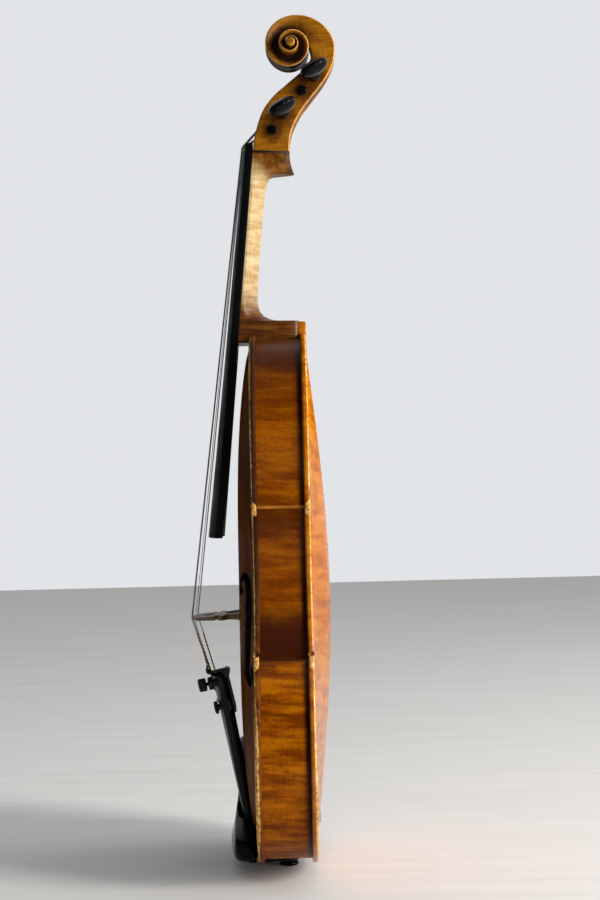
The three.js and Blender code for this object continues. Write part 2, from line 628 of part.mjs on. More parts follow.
function flipped(geometry) {
  const merged = mergeVertices(geometry.deleteAttribute("normal").deleteAttribute("uv"), 1e-4);
  const index = merged.index.array;
  for (let i = 0; i < index.length; i += 3) [index[i + 1], index[i + 2]] = [index[i + 2], index[i + 1]];
  return merged;
}
const bridgeTop = (side) => {
  const drop = BRIDGE.crown - Math.sqrt(BRIDGE.crown ** 2 - side ** 2);
  return bellyX(0, BRIDGE.z) - BRIDGE.height + drop;
};

// ---------------------------------------------------------------- fingerboard, nut, saddle
function boardRing(z, grow = 0) {
  const half = boardHalf(z);
  const base = glueX(z) - GAP;
  const rise = (side) =>
    Math.sqrt(FINGERBOARD.radius ** 2 - side ** 2) - Math.sqrt(FINGERBOARD.radius ** 2 - half ** 2);
  const points = [v3(base, half, z)];
  for (let i = 0; i <= 8; i++) {
    const side = mix(half, -half, i / 8);
    points.push(v3(base - FINGERBOARD.edge - rise(side) - grow, side, z));
  }
  points.push(v3(base, -half, z));
  return points;
}
function fingerboard() {
  const end = NUT_Z - FINGERBOARD.length;
  piece("fingerboard", loft([end, 350, NUT_Z - GAP].map((z) => boardRing(z))), MATERIAL.ebony);
  const nut = loft([
    boardRing(NUT_Z, 0.7),
    boardRing(NUT_Z + 1.1, 0.6),
    boardRing(NUT_Z + 2.6, -4.2),
    boardRing(NUT_Z + 4, -5),
  ].map((ring) => ring.map((p) => v3(Math.min(p.x, glueX(NUT_Z) - GAP), p.y, p.z))));
  piece("nut", nut, MATERIAL.ebony);
}
const boardTop = (side, z) =>
  glueX(z) - GAP - FINGERBOARD.edge -
  (Math.sqrt(FINGERBOARD.radius ** 2 - side ** 2) - Math.sqrt(FINGERBOARD.radius ** 2 - boardHalf(z) ** 2));

function saddle() {
  const plane = bellyPlane(0);
  const low = prismX(shapeOf(SADDLE_SHAPE), plane - SADDLE_RISE, plane + 4);
  piece("saddle", low, MATERIAL.ebony);
}

// ---------------------------------------------------------------- tailpiece and fine tuner
// In the tailpiece's own frame: Z = 0 at its bridge end, X = 0 on its crown, +X towards the belly.
const tail = new THREE.Group();
tail.position.set(TAIL.x, 0, TAIL.z);
tail.rotation.y = TAIL.angle;
body.add(tail);
const tailToBody = (x, y, z) => {
  const [c, s] = [Math.cos(TAIL.angle), Math.sin(TAIL.angle)];
  return v3(TAIL.x + c * x + s * z, y, TAIL.z - s * x + c * z);
};
const tailHalf = (z) => mix(TAIL.halfTop, TAIL.halfEnd, Math.min(1, (-z / TAIL.length) ** 0.8));
const tailDrop = (side) => 0.0105 * side * side; // the crown falls away to the sides
const TUNER = { y: -14, screw: -5.2, stub: -22, post: 2.6 };

function tailpiece() {
  const nearEnd = 3 - TAIL.length;
  const rings = [0, -3, -30, -60, -90, nearEnd, -TAIL.length].map((z) => {
    const half = tailHalf(z) * (z < nearEnd ? 0.8 : 1);
    const points = [];
    for (let i = 0; i <= 8; i++) {
      const side = mix(half, -half, i / 8);
      points.push(v3(tailDrop(side) + (z === 0 ? 1.2 : 0), side, z));
    }
    for (let i = 0; i <= 8; i++) {
      const side = mix(-half, half, i / 8);
      points.push(v3(tailDrop(side * 0.8) + 4.6, side, z));
    }
    return points;
  });
  const holes = STRING_NAMES.filter((name) => name !== "e").map((name) =>
    rodX(1.9, -5, 12, STRING_SIDE[name] * TAIL_SPREAD, -13, 10));
  const tunerHoles = [
    rodX(3, -5, 12, TUNER.y, TUNER.screw, 12),
    rodX(2.6, -5, 12, TUNER.y, TUNER.stub, 12),
  ];
  const gutHoles = [4, -4].map((y) => rodZ(1.4, -TAIL.length - 2, -TAIL.length + 9, 2.6, y, 8));
  piece("tailpiece", cut(loft(rings), ...holes, ...tunerHoles, ...gutHoles), MATERIAL.blackfitting, tail);
}

// Lever-type fine tuner of the E string.
const UNDER = tailDrop(TUNER.y) + 4.6;
const PIVOT = { x: UNDER + 4.6, z: 1.4 };
function fineTuner() {
  const y = TUNER.y;
  const top = tailDrop(TUNER.y);
  const plate = box(UNDER + 0.5, UNDER + 1.9, y - 4, y + 4, -25.6, 0);
  const ears = [-1, 1].map((hand) =>
    box(UNDER + 0.5, UNDER + 6.2, y + hand * 3.4 - 0.6, y + hand * 3.4 + 0.6, -0.8, 3.4));
  const post = rodX(TUNER.post, top - 0.6, UNDER + 1.2, y, TUNER.screw);
  const stub = rodX(2.1, top - 3.2, UNDER + 1.2, y, TUNER.stub);
  const screwHole = rodX(1.4 + GAP, top - 6, UNDER + 4, y, TUNER.screw, 12);
  const pin = rodY(0.8, y - 4.6, y + 4.6, PIVOT.x, PIVOT.z, 10);

  const seat = tailDrop(TUNER.y - 4.3) - 3.4;
  const ring = rodX(4.3, seat - 2.4, seat, y, TUNER.stub, 18);
  const flange = rodX(4.4, top - 4.9, top - 1.7, y, TUNER.screw, 20);
  const neck = rodX(TUNER.post, top - 2, top, y, TUNER.screw);
  const bracket = cut(join(plate, ...ears, post, stub, ring, pin, neck, flange), screwHole);
  piece("tuner_bracket", bracket, MATERIAL.blackmetal, tail);

  piece("tuner_screw", rodX(1.4, top - 9.8, UNDER + 3.4, y, TUNER.screw, 12), MATERIAL.blackmetal, tail);
  const knob = rodX(4.5, top - 11.6, top - 6.3, y, TUNER.screw, 20);
  const socket = rodX(1.4 + GAP, top - 10.1, top, y, TUNER.screw, 12);
  piece("tuner_knob", cut(knob, socket), MATERIAL.blackmetal, tail);

  const arm = box(UNDER + 3.8, UNDER + 5.2, y - 2.2, y + 2.2, -27.6, 3.1);
  const riser = box(-2.2, UNDER + 5.2, y - 2.2, y + 2.2, 1.3, 3.1);
  const hook = box(-2.2, -0.6, y - 2.2, y + 2.2, 1.3, 5.4);
  const slot = box(-4, 2.4, y - 0.6, y + 0.6, 0.3, 6);
  const hole = rodY(1.1, y - 5, y + 5, PIVOT.x, PIVOT.z, 10);
  const barrel = rodY(2.2, y - 2.2, y + 2.2, PIVOT.x, PIVOT.z, 12);
  piece("tuner_lever", cut(join(arm, riser, hook, barrel), slot, hole), MATERIAL.blackmetal, tail);
}

// ---------------------------------------------------------------- end button and tailgut
function endButton() {
  const base = OVERHANG - GAP;
  const end = OVERHANG - BUTTON.protrusion;
  const profile = [
    [0, end], [5.4, end], [BUTTON.head, end + 0.9], [BUTTON.head, end + 2.3], [BUTTON.groove, end + 3],
    [BUTTON.groove, end + 5.6], [5.8, end + 6.1], [5.8, base], [BUTTON.shank, base],
    [BUTTON.shank - 0.6, base + 21], [0, base + 21],
  ];
  piece("end_button", turned(profile, 20).rotateX(Math.PI / 2), MATERIAL.ebony);
}
const GUT_RADIUS = 0.95;
function tailgut() {
  const start = tailToBody(2.6, 4, -TAIL.length + 8);
  const mouth = tailToBody(2.6, 4, -TAIL.length - 2);
  const groove = OVERHANG - BUTTON.protrusion + 4.3;
  const crest = bellyPlane(0) - SADDLE_RISE;
  const overSaddle = [
    v3(crest - 1.25, 4.7, 3), v3(crest - 1.25, 5, -0.6), v3(crest - 0.4, 5.1, groove),
  ];
  const reach = BUTTON.groove + GUT_RADIUS + GAP;
  const down = [start, mouth, ...overSaddle, v3(-reach - 2, reach, groove)];
  const round = Array.from({ length: 7 }, (_, i) => {
    const turn = Math.PI / 2 - (Math.PI * i) / 6;
    return v3(reach * Math.cos(turn), reach * Math.sin(turn), groove);
  });
  const up = down.toReversed().map((p) => v3(p.x, -p.y, p.z));
  piece("tailgut", sweep([...down, ...round, ...up], GUT_RADIUS, 8), MATERIAL.gut);
}

// ---------------------------------------------------------------- strings
function stringPath(name) {
  const share = STRING_SIDE[name];
  const r = STRING_RADIUS[name];
  const peg = PEGS[name];
  const nut = v3(boardTop(share * NUT_SPREAD, NUT_Z) - 0.95 - GAP - r, share * NUT_SPREAD, NUT_Z + 0.8);
  const lift = WIND_RADIUS + GAP + 3 * r; // centre line above the peg's axis
  const run = v3(peg.x - nut.x, 0, peg.z - nut.z).normalize();
  const tangent = v3(peg.x - lift * run.z, peg.wind, peg.z + lift * run.x);
  const side = share * BRIDGE_SPREAD;
  const crest = v3(bridgeTop(side) - GAP - 0.15 - r, side, BRIDGE.z - (BRIDGE.foot - BRIDGE.top) / 2);
  const end = name === "e"
    ? [tailToBody(-1.1, TUNER.y, 5.2), tailToBody(-1.2, TUNER.y, 2)]
    : [
        tailToBody(tailDrop(share * TAIL_SPREAD) - 0.2 - r, share * TAIL_SPREAD, -0.6),
        tailToBody(tailDrop(share * TAIL_SPREAD) - GAP - r, share * TAIL_SPREAD, -11.5),
        tailToBody(tailDrop(share * TAIL_SPREAD) + 3, share * TAIL_SPREAD, -13.1),
      ];
  return [tangent, nut, crest, ...end];
}
function strings() {
  for (const name of STRING_NAMES) {
    piece(`string_${name}`, sweep(stringPath(name), STRING_RADIUS[name], 6), MATERIAL.string);
    piece(`string_${name}_windings`, windings(PEGS[name], STRING_RADIUS[name]), MATERIAL.string);
  }
}

// ---------------------------------------------------------------- chin rest
const CHIN_OUTLINE = [
  [-42, 11], [-36, 5], [-18, 2], [8, 1.2], [34, 1.8], [58, 7], [82, 24], [93, 46], [88, 66], [66, 73],
  [46, 66], [32, 52], [20, 40], [4, 32], [-16, 27], [-32, 22.5], [-41, 18],
];
const CHIN_UNDER = -24.6; // underside of the cup along its foot
// It bridges the lower end of the tailpiece with air between.
function chinUnder(side, z) {
  const overTail = TAIL.x - TAIL.angle * (TAIL.z - z) - 2.2;
  const near = 1 - THREE.MathUtils.smoothstep(Math.abs(side), 11, 19);
  const bridged = mix(CHIN_UNDER, Math.min(overTail, -31), near);
  return Math.min(bridged, bellyX(side, z) - 1.8);
}
const chinTop = (side, z) => {
  const ridge = 4.8 * Math.exp(-(((z - 10) / 15) ** 2)) * Math.exp(-(((side - 12) / 40) ** 2));
  const bowl = 4.6 * Math.exp(-(((z - 42) / 19) ** 2) - ((side - 56) / 25) ** 2);
  return CHIN_UNDER - 9.8 - 0.02 * z - ridge + bowl;
};
function chinRest() {
  const curve = new THREE.CatmullRomCurve3(CHIN_OUTLINE.map(([y, z]) => v3(0, y, z)), true, "centripetal");
  const edge = curve.getPoints(34).slice(0, -1);
  const centre = v3(0, 34, 26);
  const ring = (share, x) =>
    edge.map((p) => {
      const at = centre.clone().lerp(p, share);
      return v3(x(at.y, at.z), at.y, at.z);
    });
  const cup = loft([
    ring(0.12, chinTop), ring(0.45, chinTop), ring(0.75, chinTop), ring(0.94, (y, z) => chinTop(y, z) + 0.6),
    ring(1, (y, z) => mix(chinTop(y, z), chinUnder(y, z), 0.4)), ring(0.97, chinUnder), ring(0.7, chinUnder),
    ring(0.4, chinUnder), ring(0.12, chinUnder),
  ]);

  // feet along the belly's edge under the cup's two ends, the bass one lined with cork
  const pad = (from, to, x0, x1) => strip(BOUTS.lower.slice(4, 8), 1, from, to, () => x0, () => x1);
  const treblePad = (from, to, x0, x1) => strip(BOUTS.lower.slice(1, 3), -1, from, to, () => x0, () => x1);
  const edgeX = bellyPlane(0) - EDGE_HEIGHT;
  piece("chin_rest_cork", pad(0.4, 7, edgeX - 1.6, edgeX - GAP), MATERIAL.cork);
  const foot = pad(0.4, 7, CHIN_UNDER - 2, edgeX - 1.6 - GAP);
  const trebleFoot = treblePad(0.4, 7, CHIN_UNDER - 2, edgeX - GAP);
  piece("chin_rest_cup", join(cup, foot, trebleFoot), MATERIAL.ebony);

  const base = BACK_PLANE + EDGE_HEIGHT;
  piece("clamp_cork", pad(0.4, 7, base + GAP, base + 1.6), MATERIAL.cork);
  const at = [BOUTS.lower[5], BOUTS.lower[6]].map((p) => [p.w - 5.2 * p.inward[0], p.z - 5.2 * p.inward[1]]);
  const shelf = (x0, x1) => strip(BOUTS.lower.slice(4, 8), 1, -6, 6.4, () => x0, () => x1);
  const studs = (x0, x1) => at.map(([y, z]) => rodX(1.4, x0, x1, y, z, 10));
  const lower = join(shelf(base + 1.6 + GAP, base + 3.4), ...studs(4, base + 2.4));
  piece("clamp_lower_plate", lower, MATERIAL.steel);
  const upper = join(
    strip(BOUTS.lower.slice(4, 8), 1, -6, -0.9, () => CHIN_UNDER + GAP, () => CHIN_UNDER + 2),
    ...studs(CHIN_UNDER + 1, 0));
  piece("clamp_upper_plate", upper, MATERIAL.steel);
  at.forEach(([y, z], i) => {
    const [bore, keyHole] = [rodX(1.4 + GAP + 0.1, -20, 20, y, z, 12), rodY(0.9, y - 5, y + 5, 1, z, 8)];
    const tube = cut(rodX(2.9, -13, 15, y, z, 16), bore, keyHole);
    piece(`clamp_barrel_${i + 1}`, tube, MATERIAL.steel);
  });
}

// ---------------------------------------------------------------- assembly
const shell = plates();
ribs();
blocks();
linings();
bassBar(shell.belly);
soundPost(shell.belly, shell.back);
piece("neck", neckSolid, MATERIAL.palemaple);
piece("head", headSolid(), MATERIAL.maple);
for (const [name, peg] of Object.entries(PEGS)) piece(`peg_${name}`, pegSolid(peg), MATERIAL.ebony);
fingerboard();
saddle();
bridge(shell.belly);
tailpiece();
fineTuner();
endButton();
tailgut();
strings();
chinRest();

body.position.z = BUTTON.protrusion - OVERHANG;
export default violin;
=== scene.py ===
"""A full-size violin standing on its end button, seen from its treble side."""
import math

import bmesh
import bpy
import numpy as np
from mathutils import Matrix, Vector


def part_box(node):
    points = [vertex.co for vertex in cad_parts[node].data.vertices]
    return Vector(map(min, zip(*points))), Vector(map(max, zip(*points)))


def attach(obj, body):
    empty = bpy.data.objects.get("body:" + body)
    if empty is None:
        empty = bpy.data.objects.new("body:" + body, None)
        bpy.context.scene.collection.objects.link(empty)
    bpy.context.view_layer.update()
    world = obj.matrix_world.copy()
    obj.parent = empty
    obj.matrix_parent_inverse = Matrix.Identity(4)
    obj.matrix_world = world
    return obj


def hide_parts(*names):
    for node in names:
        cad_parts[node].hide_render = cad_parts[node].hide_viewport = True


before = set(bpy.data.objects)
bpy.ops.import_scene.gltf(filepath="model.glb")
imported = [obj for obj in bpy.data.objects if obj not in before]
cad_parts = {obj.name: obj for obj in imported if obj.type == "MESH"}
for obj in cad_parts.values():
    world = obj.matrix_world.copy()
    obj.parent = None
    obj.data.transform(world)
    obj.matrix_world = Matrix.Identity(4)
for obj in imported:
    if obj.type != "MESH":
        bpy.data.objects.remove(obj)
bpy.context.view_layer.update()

MM = 0.001
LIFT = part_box("back")[0][2] / MM  # the plates' lower edge above the floor
ROOT = "violin"
SIDES = (("bass", 1), ("treble", -1))


# ------------------------------------------------------------------ meshes
def make(name, verts, faces, material, slot, stands_for=(), body=ROOT, smooth=True,
         grain=None, extra=None, angle=None, lift=True):
    """A piece from points in millimetres above the plates' lower edge."""
    points = np.array(verts, dtype=float)
    world = points + np.array([0, 0, LIFT if lift else 0])
    mesh = bpy.data.meshes.new(name)
    mesh.from_pydata((world * MM).tolist(), [], [list(f) for f in faces])
    mesh.update()
    attribute(mesh, "grain", points if grain is None else np.asarray(grain, float))
    for key, values in (extra or {}).items():
        attribute(mesh, key, np.asarray(values, float))
    obj = bpy.data.objects.new(name, mesh)
    bpy.context.scene.collection.objects.link(obj)
    mesh.materials.append(material)
    clean(obj)
    if smooth:
        soften(obj, angle)
    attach(obj, body)
    if stands_for:
        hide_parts(*stands_for)
    return obj


def attribute(mesh, key, values):
    if values.ndim == 2:
        mesh.attributes.new(key, "FLOAT_VECTOR", "POINT").data.foreach_set("vector", values.ravel())
    else:
        mesh.attributes.new(key, "FLOAT", "POINT").data.foreach_set("value", values)


def clean(obj, distance=1e-6):
    """Welds coincident points, drops collapsed faces and turns the faces out."""
    bm = bmesh.new()
    bm.from_mesh(obj.data)
    bmesh.ops.remove_doubles(bm, verts=bm.verts, dist=distance)
    bmesh.ops.dissolve_degenerate(bm, edges=bm.edges, dist=distance / 2)
    bmesh.ops.recalc_face_normals(bm, faces=bm.faces)
    bm.to_mesh(obj.data)
    bm.free()


def soften(obj, angle=None):
    """Smooth shading, sharp where faces meet at more than the angle in degrees."""
    mesh = obj.data
    mesh.polygons.foreach_set("use_smooth", [True] * len(mesh.polygons))
    if angle is None:
        return
    bm = bmesh.new()
    bm.from_mesh(mesh)
    limit = math.radians(angle)
    for edge in bm.edges:
        edge.smooth = len(edge.link_faces) == 2 and edge.calc_face_angle(0) < limit
    bm.to_mesh(mesh)
    bm.free()


def loft(rings, closed=True, caps=True):
    """Points and faces of a skin through rings of equal length."""
    count = len(rings[0])
    verts = [p for ring in rings for p in ring]
    faces = []
    for i in range(len(rings) - 1):
        for j in range(count if closed else count - 1):
            a, b = i * count + j, i * count + (j + 1) % count
            faces.append((a, b, b + count, a + count))
    if caps:
        for base in (0, (len(rings) - 1) * count):
            centre = np.mean(np.array(verts[base:base + count]), axis=0)
            verts.append(tuple(centre))
            middle = len(verts) - 1
            faces += [(base + j, base + (j + 1) % count, middle) for j in range(count)]
    return verts, faces


def lathe(profile, steps=40):
    """Rings of a turned piece about Z from (radius, height) points."""
    turns = [2 * math.pi * k / steps for k in range(steps)]
    return [[(r * math.cos(t), r * math.sin(t), h) for t in turns] for r, h in profile]


def tube(path, radius, sides=10):
    """Rings round a path; the radius may differ from point to point."""
    path = np.array(path, dtype=float)
    radii = np.broadcast_to(radius, len(path))
    along = np.gradient(path, axis=0)
    along /= np.linalg.norm(along, axis=1)[:, None]
    aside = np.cross(along[0], (0.3, 1, 0.2))
    rings = []
    for point, direction, r in zip(path, along, radii):
        aside = aside - direction * aside.dot(direction)
        aside /= np.linalg.norm(aside)
        other = np.cross(direction, aside)
        turns = np.arange(sides) * 2 * math.pi / sides
        rings.append([tuple(point + r * (math.cos(t) * aside + math.sin(t) * other)) for t in turns])
    return rings


def resample(points, spacing):
    points = np.array(points, dtype=float)
    steps = np.concatenate([[0], np.cumsum(np.linalg.norm(np.diff(points, axis=0), axis=1))])
    count = max(2, int(round(steps[-1] / spacing)) + 1)
    at = np.linspace(0, steps[-1], count)
    return np.stack([np.interp(at, steps, points[:, k]) for k in range(points.shape[1])], axis=1)


def curve_through(points, per_span=8, closed=False):
    """Centripetal Catmull-Rom curve through points."""
    pts = [np.array(p, dtype=float) for p in points]
    if closed:
        pts = [pts[-1]] + pts + [pts[0], pts[1]]
    else:
        pts = [2 * pts[0] - pts[1]] + pts + [2 * pts[-1] - pts[-2]]
    out = []
    for p0, p1, p2, p3 in zip(pts, pts[1:], pts[2:], pts[3:]):
        knots = np.cumsum([0] + [max(1e-6, np.linalg.norm(b - a)) ** 0.5
                                 for a, b in ((p0, p1), (p1, p2), (p2, p3))])
        t0, t1, t2, t3 = knots
        for t in np.linspace(t1, t2, per_span, endpoint=False):
            a1 = (t1 - t) / (t1 - t0) * p0 + (t - t0) / (t1 - t0) * p1
            a2 = (t2 - t) / (t2 - t1) * p1 + (t - t1) / (t2 - t1) * p2
            a3 = (t3 - t) / (t3 - t2) * p2 + (t - t2) / (t3 - t2) * p3
            b1 = (t2 - t) / (t2 - t0) * a1 + (t - t0) / (t2 - t0) * a2
            b2 = (t3 - t) / (t3 - t1) * a2 + (t - t1) / (t3 - t1) * a3
            out.append((t2 - t) / (t2 - t1) * b1 + (t - t1) / (t2 - t1) * b2)
    if not closed:
        out.append(pts[-2])
    return np.array(out)


def scratch(name, verts, faces, lift=True):
    """An unlinked helper object for cutting."""
    mesh = bpy.data.meshes.new(name)
    points = np.array(verts, dtype=float) + np.array([0, 0, LIFT if lift else 0])
    mesh.from_pydata((points * MM).tolist(), [], [list(f) for f in faces])
    obj = bpy.data.objects.new(name, mesh)
    bpy.context.scene.collection.objects.link(obj)
    clean(obj)
    return obj


def boolean(obj, cutter, operation="DIFFERENCE", angle=35):
    """Applies one boolean with a helper object, which is then removed."""
    modifier = obj.modifiers.new("cut", "BOOLEAN")
    modifier.operation = operation
    modifier.solver = "EXACT"
    modifier.object = cutter
    bpy.context.view_layer.update()
    graph = bpy.context.evaluated_depsgraph_get()
    mesh = bpy.data.meshes.new_from_object(obj.evaluated_get(graph))
    obj.modifiers.clear()
    old, obj.data = obj.data, mesh
    bpy.data.meshes.remove(old)
    helper = cutter.data
    bpy.data.objects.remove(cutter)
    bpy.data.meshes.remove(helper)
    soften(obj, angle)


def prism(outline, low, high, axes="yz"):
    """Rings of a straight prism: the outline's two axes, and limits along the third."""
    order = {"yz": lambda a, b, c: (c, a, b), "xz": lambda a, b, c: (a, c, b),
             "xy": lambda a, b, c: (a, b, c)}[axes]
    return [[order(a, b, c) for a, b in outline] for c in (low, high)]


def bevel(obj, width, segments=2, angle=35):
    modifier = obj.modifiers.new("bevel", "BEVEL")
    modifier.width = width * MM
    modifier.segments = segments
    modifier.limit_method = "ANGLE"
    modifier.angle_limit = math.radians(angle)
    modifier.harden_normals = False
    return obj


# ------------------------------------------------------------------ materials
class Look:
    """A node material built in a few lines."""

    def __init__(self, name):
        self.material = bpy.data.materials.new(name)
        self.material.use_nodes = True
        self.tree = self.material.node_tree
        self.bsdf = self.tree.nodes["Principled BSDF"]

    def node(self, kind, **settings):
        made = self.tree.nodes.new(kind)
        for key, value in settings.items():
            if key in ("operation", "blend_type", "data_type", "noise_dimensions", "attribute_name",
                       "wave_type", "bands_direction", "wave_profile", "feature", "distance",
                       "voronoi_dimensions", "interpolation_type", "clamp", "use_clamp", "normalize"):
                setattr(made, key, value)
            else:
                self.put(made.inputs[int(key[1:]) if key[0] == "i" and key[1:].isdigit() else key], value)
        return made

    def put(self, socket, value):
        if hasattr(value, "is_output") or isinstance(value, bpy.types.NodeSocket):
            self.tree.links.new(value, socket)
        elif socket.type == "RGBA" and len(value) == 3:
            socket.default_value = (*value, 1)
        else:
            socket.default_value = value

    def math(self, operation, a, b=0.0, clamp=False):
        made = self.node("ShaderNodeMath", operation=operation, use_clamp=clamp)
        self.put(made.inputs[0], a)
        self.put(made.inputs[1], b)
        return made.outputs[0]

    def grain(self, scale, key="grain"):
        """The piece's own grain coordinates, in millimetres, scaled."""
        source = self.node("ShaderNodeAttribute", attribute_name=key)
        scaled = self.node("ShaderNodeVectorMath", operation="MULTIPLY")
        self.put(scaled.inputs[0], source.outputs["Vector"])
        self.put(scaled.inputs[1], scale)
        return scaled.outputs[0]

    def place(self, scale=(1, 1, 1)):
        """Object coordinates in millimetres, scaled."""
        source = self.node("ShaderNodeTexCoord")
        scaled = self.node("ShaderNodeVectorMath", operation="MULTIPLY")
        self.put(scaled.inputs[0], source.outputs["Object"])
        self.put(scaled.inputs[1], tuple(s / MM for s in scale))
        return scaled.outputs[0]

    def value(self, key):
        return self.node("ShaderNodeAttribute", attribute_name=key).outputs["Fac"]

    def axis(self, vector, which):
        return self.node("ShaderNodeSeparateXYZ", i0=vector).outputs[which]

    def noise(self, vector, detail=3.0, rough=0.55, warp=0.0, scale=1.0):
        made = self.node("ShaderNodeTexNoise")
        self.put(made.inputs["Vector"], vector)
        self.put(made.inputs["Scale"], scale)
        self.put(made.inputs["Detail"], detail)
        self.put(made.inputs["Roughness"], rough)
        self.put(made.inputs["Distortion"], warp)
        return made.outputs[0]

    def step(self, value, low, high, to=(0.0, 1.0)):
        made = self.node("ShaderNodeMapRange", interpolation_type="SMOOTHSTEP")
        for k, v in enumerate((value, low, high, *to)):
            self.put(made.inputs[k], v)
        return made.outputs[0]

    def ramp(self, value, stops):
        made = self.node("ShaderNodeValToRGB")
        self.put(made.inputs[0], value)
        ramp = made.color_ramp
        while len(ramp.elements) < len(stops):
            ramp.elements.new(0.5)
        for element, (place, colour) in zip(ramp.elements, stops):
            element.position = place
            element.color = (*colour, 1)
        return made.outputs[0]

    def mix(self, factor, a, b, blend="MIX"):
        made = self.node("ShaderNodeMix", data_type="RGBA", blend_type=blend)
        self.put(made.inputs[0], factor)
        self.put(made.inputs[6], a)
        self.put(made.inputs[7], b)
        return made.outputs[2]

    def bump(self, height, depth, strength=1.0, under=None):
        """A bump from a height of 0 to 1, with its depth in millimetres."""
        made = self.node("ShaderNodeBump")
        self.put(made.inputs["Height"], height)
        self.put(made.inputs["Distance"], depth * MM)
        self.put(made.inputs["Strength"], strength)
        if under is not None:
            self.put(made.inputs["Normal"], under)
        return made.outputs[0]

    def finish(self, **inputs):
        for key, value in inputs.items():
            self.put(self.bsdf.inputs[key.replace("_", " ")], value)
        return self.material


def varnished(name, dark, mid, light, flame=(0.16, 0.02, 0.02), soft=0.3, patches=None,
              worn=False, straight=False, pale=None, gloss=0.34, coat=0.2, shine=0.2, dull_top=False):
    """Varnished wood: flame or straight grain, fibres, patches, wear and purfling on plates."""
    look = Look(name)
    tilt = look.grain((1, 1, 1))
    x, y, z = (look.axis(tilt, k) for k in range(3))
    if straight:  # spruce: fine winter lines along the grain
        lines = look.noise(look.grain((0.004, 0.9, 0.25)), 2, 0.5, 0.15)
        fine = look.noise(look.grain((0.02, 2.6, 1.2)), 3, 0.6)
        pattern = look.math("ADD", look.math("MULTIPLY", lines, 0.75), look.math("MULTIPLY", fine, 0.25))
    else:
        slant = look.math("ADD", x, look.math("MULTIPLY", y, 0.07))
        where = look.node("ShaderNodeCombineXYZ", i0=look.math("MULTIPLY", slant, flame[0]),
                          i1=look.math("MULTIPLY", y, flame[1]), i2=look.math("MULTIPLY", z, flame[2]))
        broad = look.noise(where.outputs[0], 1.5, 0.5, 0.25)
        narrow = look.noise(where.outputs[0], 2.5, 0.6, 0.3, 2.9)
        fine = look.noise(look.grain((0.05, 1.9, 1.9)), 4, 0.65)
        pattern = look.math("ADD", look.math("MULTIPLY", broad, 0.5), look.math("MULTIPLY", narrow, 0.3))
        pattern = look.math("ADD", pattern, look.math("MULTIPLY", fine, 0.2))
    spread = look.step(pattern, 0.5 - soft, 0.5 + soft)
    colour = look.ramp(spread, [(0.22, dark), (0.5, mid), (0.78, light)])
    specks = look.noise(look.grain((0.5, 2.4, 2.4)), 2, 0.5)
    colour = look.mix(look.step(specks, 0.56, 0.75, (0.0, 0.5)), colour, tuple(c * 0.5 for c in dark))
    cloud = look.noise(look.place((0.022, 0.03, 0.018)), 4, 0.6)
    colour = look.mix(look.step(cloud, 0.45, 0.72, (0.0, 0.45)), colour, tuple(c * 0.8 for c in dark))
    if patches:
        colour = patches(look, colour, dark)
    roughness = look.step(cloud, 0.3, 0.7, (gloss - 0.06, gloss + 0.1))
    if worn:
        edge = look.value("edge")
        ragged = look.noise(look.place((0.09, 0.09, 0.06)), 5, 0.7)
        height = look.axis(look.place(), 2)
        busy = look.math("MULTIPLY", look.step(height, 14, 44), look.step(height, 128, 92))
        reach = look.math("ADD", look.math("MULTIPLY", ragged, 1.75), look.math("MULTIPLY", busy, worn))
        rubbed = look.step(look.math("SUBTRACT", reach, edge), 0.25, 0.8)
        dirt = look.noise(look.place((0.5, 0.5, 0.4)), 3, 0.6)
        bare = look.ramp(dirt, [(0.32, (0.22, 0.075, 0.012)), (0.5, (0.62, 0.33, 0.07)),
                                (0.72, (0.85, 0.60, 0.25))])
        colour = look.mix(rubbed, colour, bare)
        line = look.value("purfling")
        for low, high, ink in ((3.5, 4.7, (0.012, 0.008, 0.006)), (3.82, 4.38, (0.50, 0.30, 0.11))):
            mask = look.math("MULTIPLY", look.step(line, low - 0.06, low + 0.06),
                             look.step(line, high + 0.06, high - 0.06))
            colour = look.mix(mask, colour, ink)
        # painted shade: the plates' inner faces and the sound holes' walls near black
        colour = look.mix(look.value("inner"), colour, (0.006, 0.003, 0.002))
    if pale:
        colour = pale(look, colour)
    fibres = look.noise(look.grain((0.06, 2.2, 2.2)), 3, 0.6)
    normal = look.bump(fibres, 0.03)
    dings = look.noise(look.place((0.16, 0.16, 0.16)), 2, 0.4)
    normal = look.bump(dings, 0.08, under=normal)
    if dull_top:  # the polish is worn off towards the upper end
        height = look.axis(look.place(), 2)
        coat = look.step(height, 300, 90, (0.0, coat))
        shine = look.step(height, 300, 90, (0.0, shine))
    return look.finish(Base_Color=colour, Roughness=roughness, Coat_Weight=coat, Coat_Roughness=0.14,
                       Coat_IOR=1.5, Normal=normal, Specular_IOR_Level=shine)


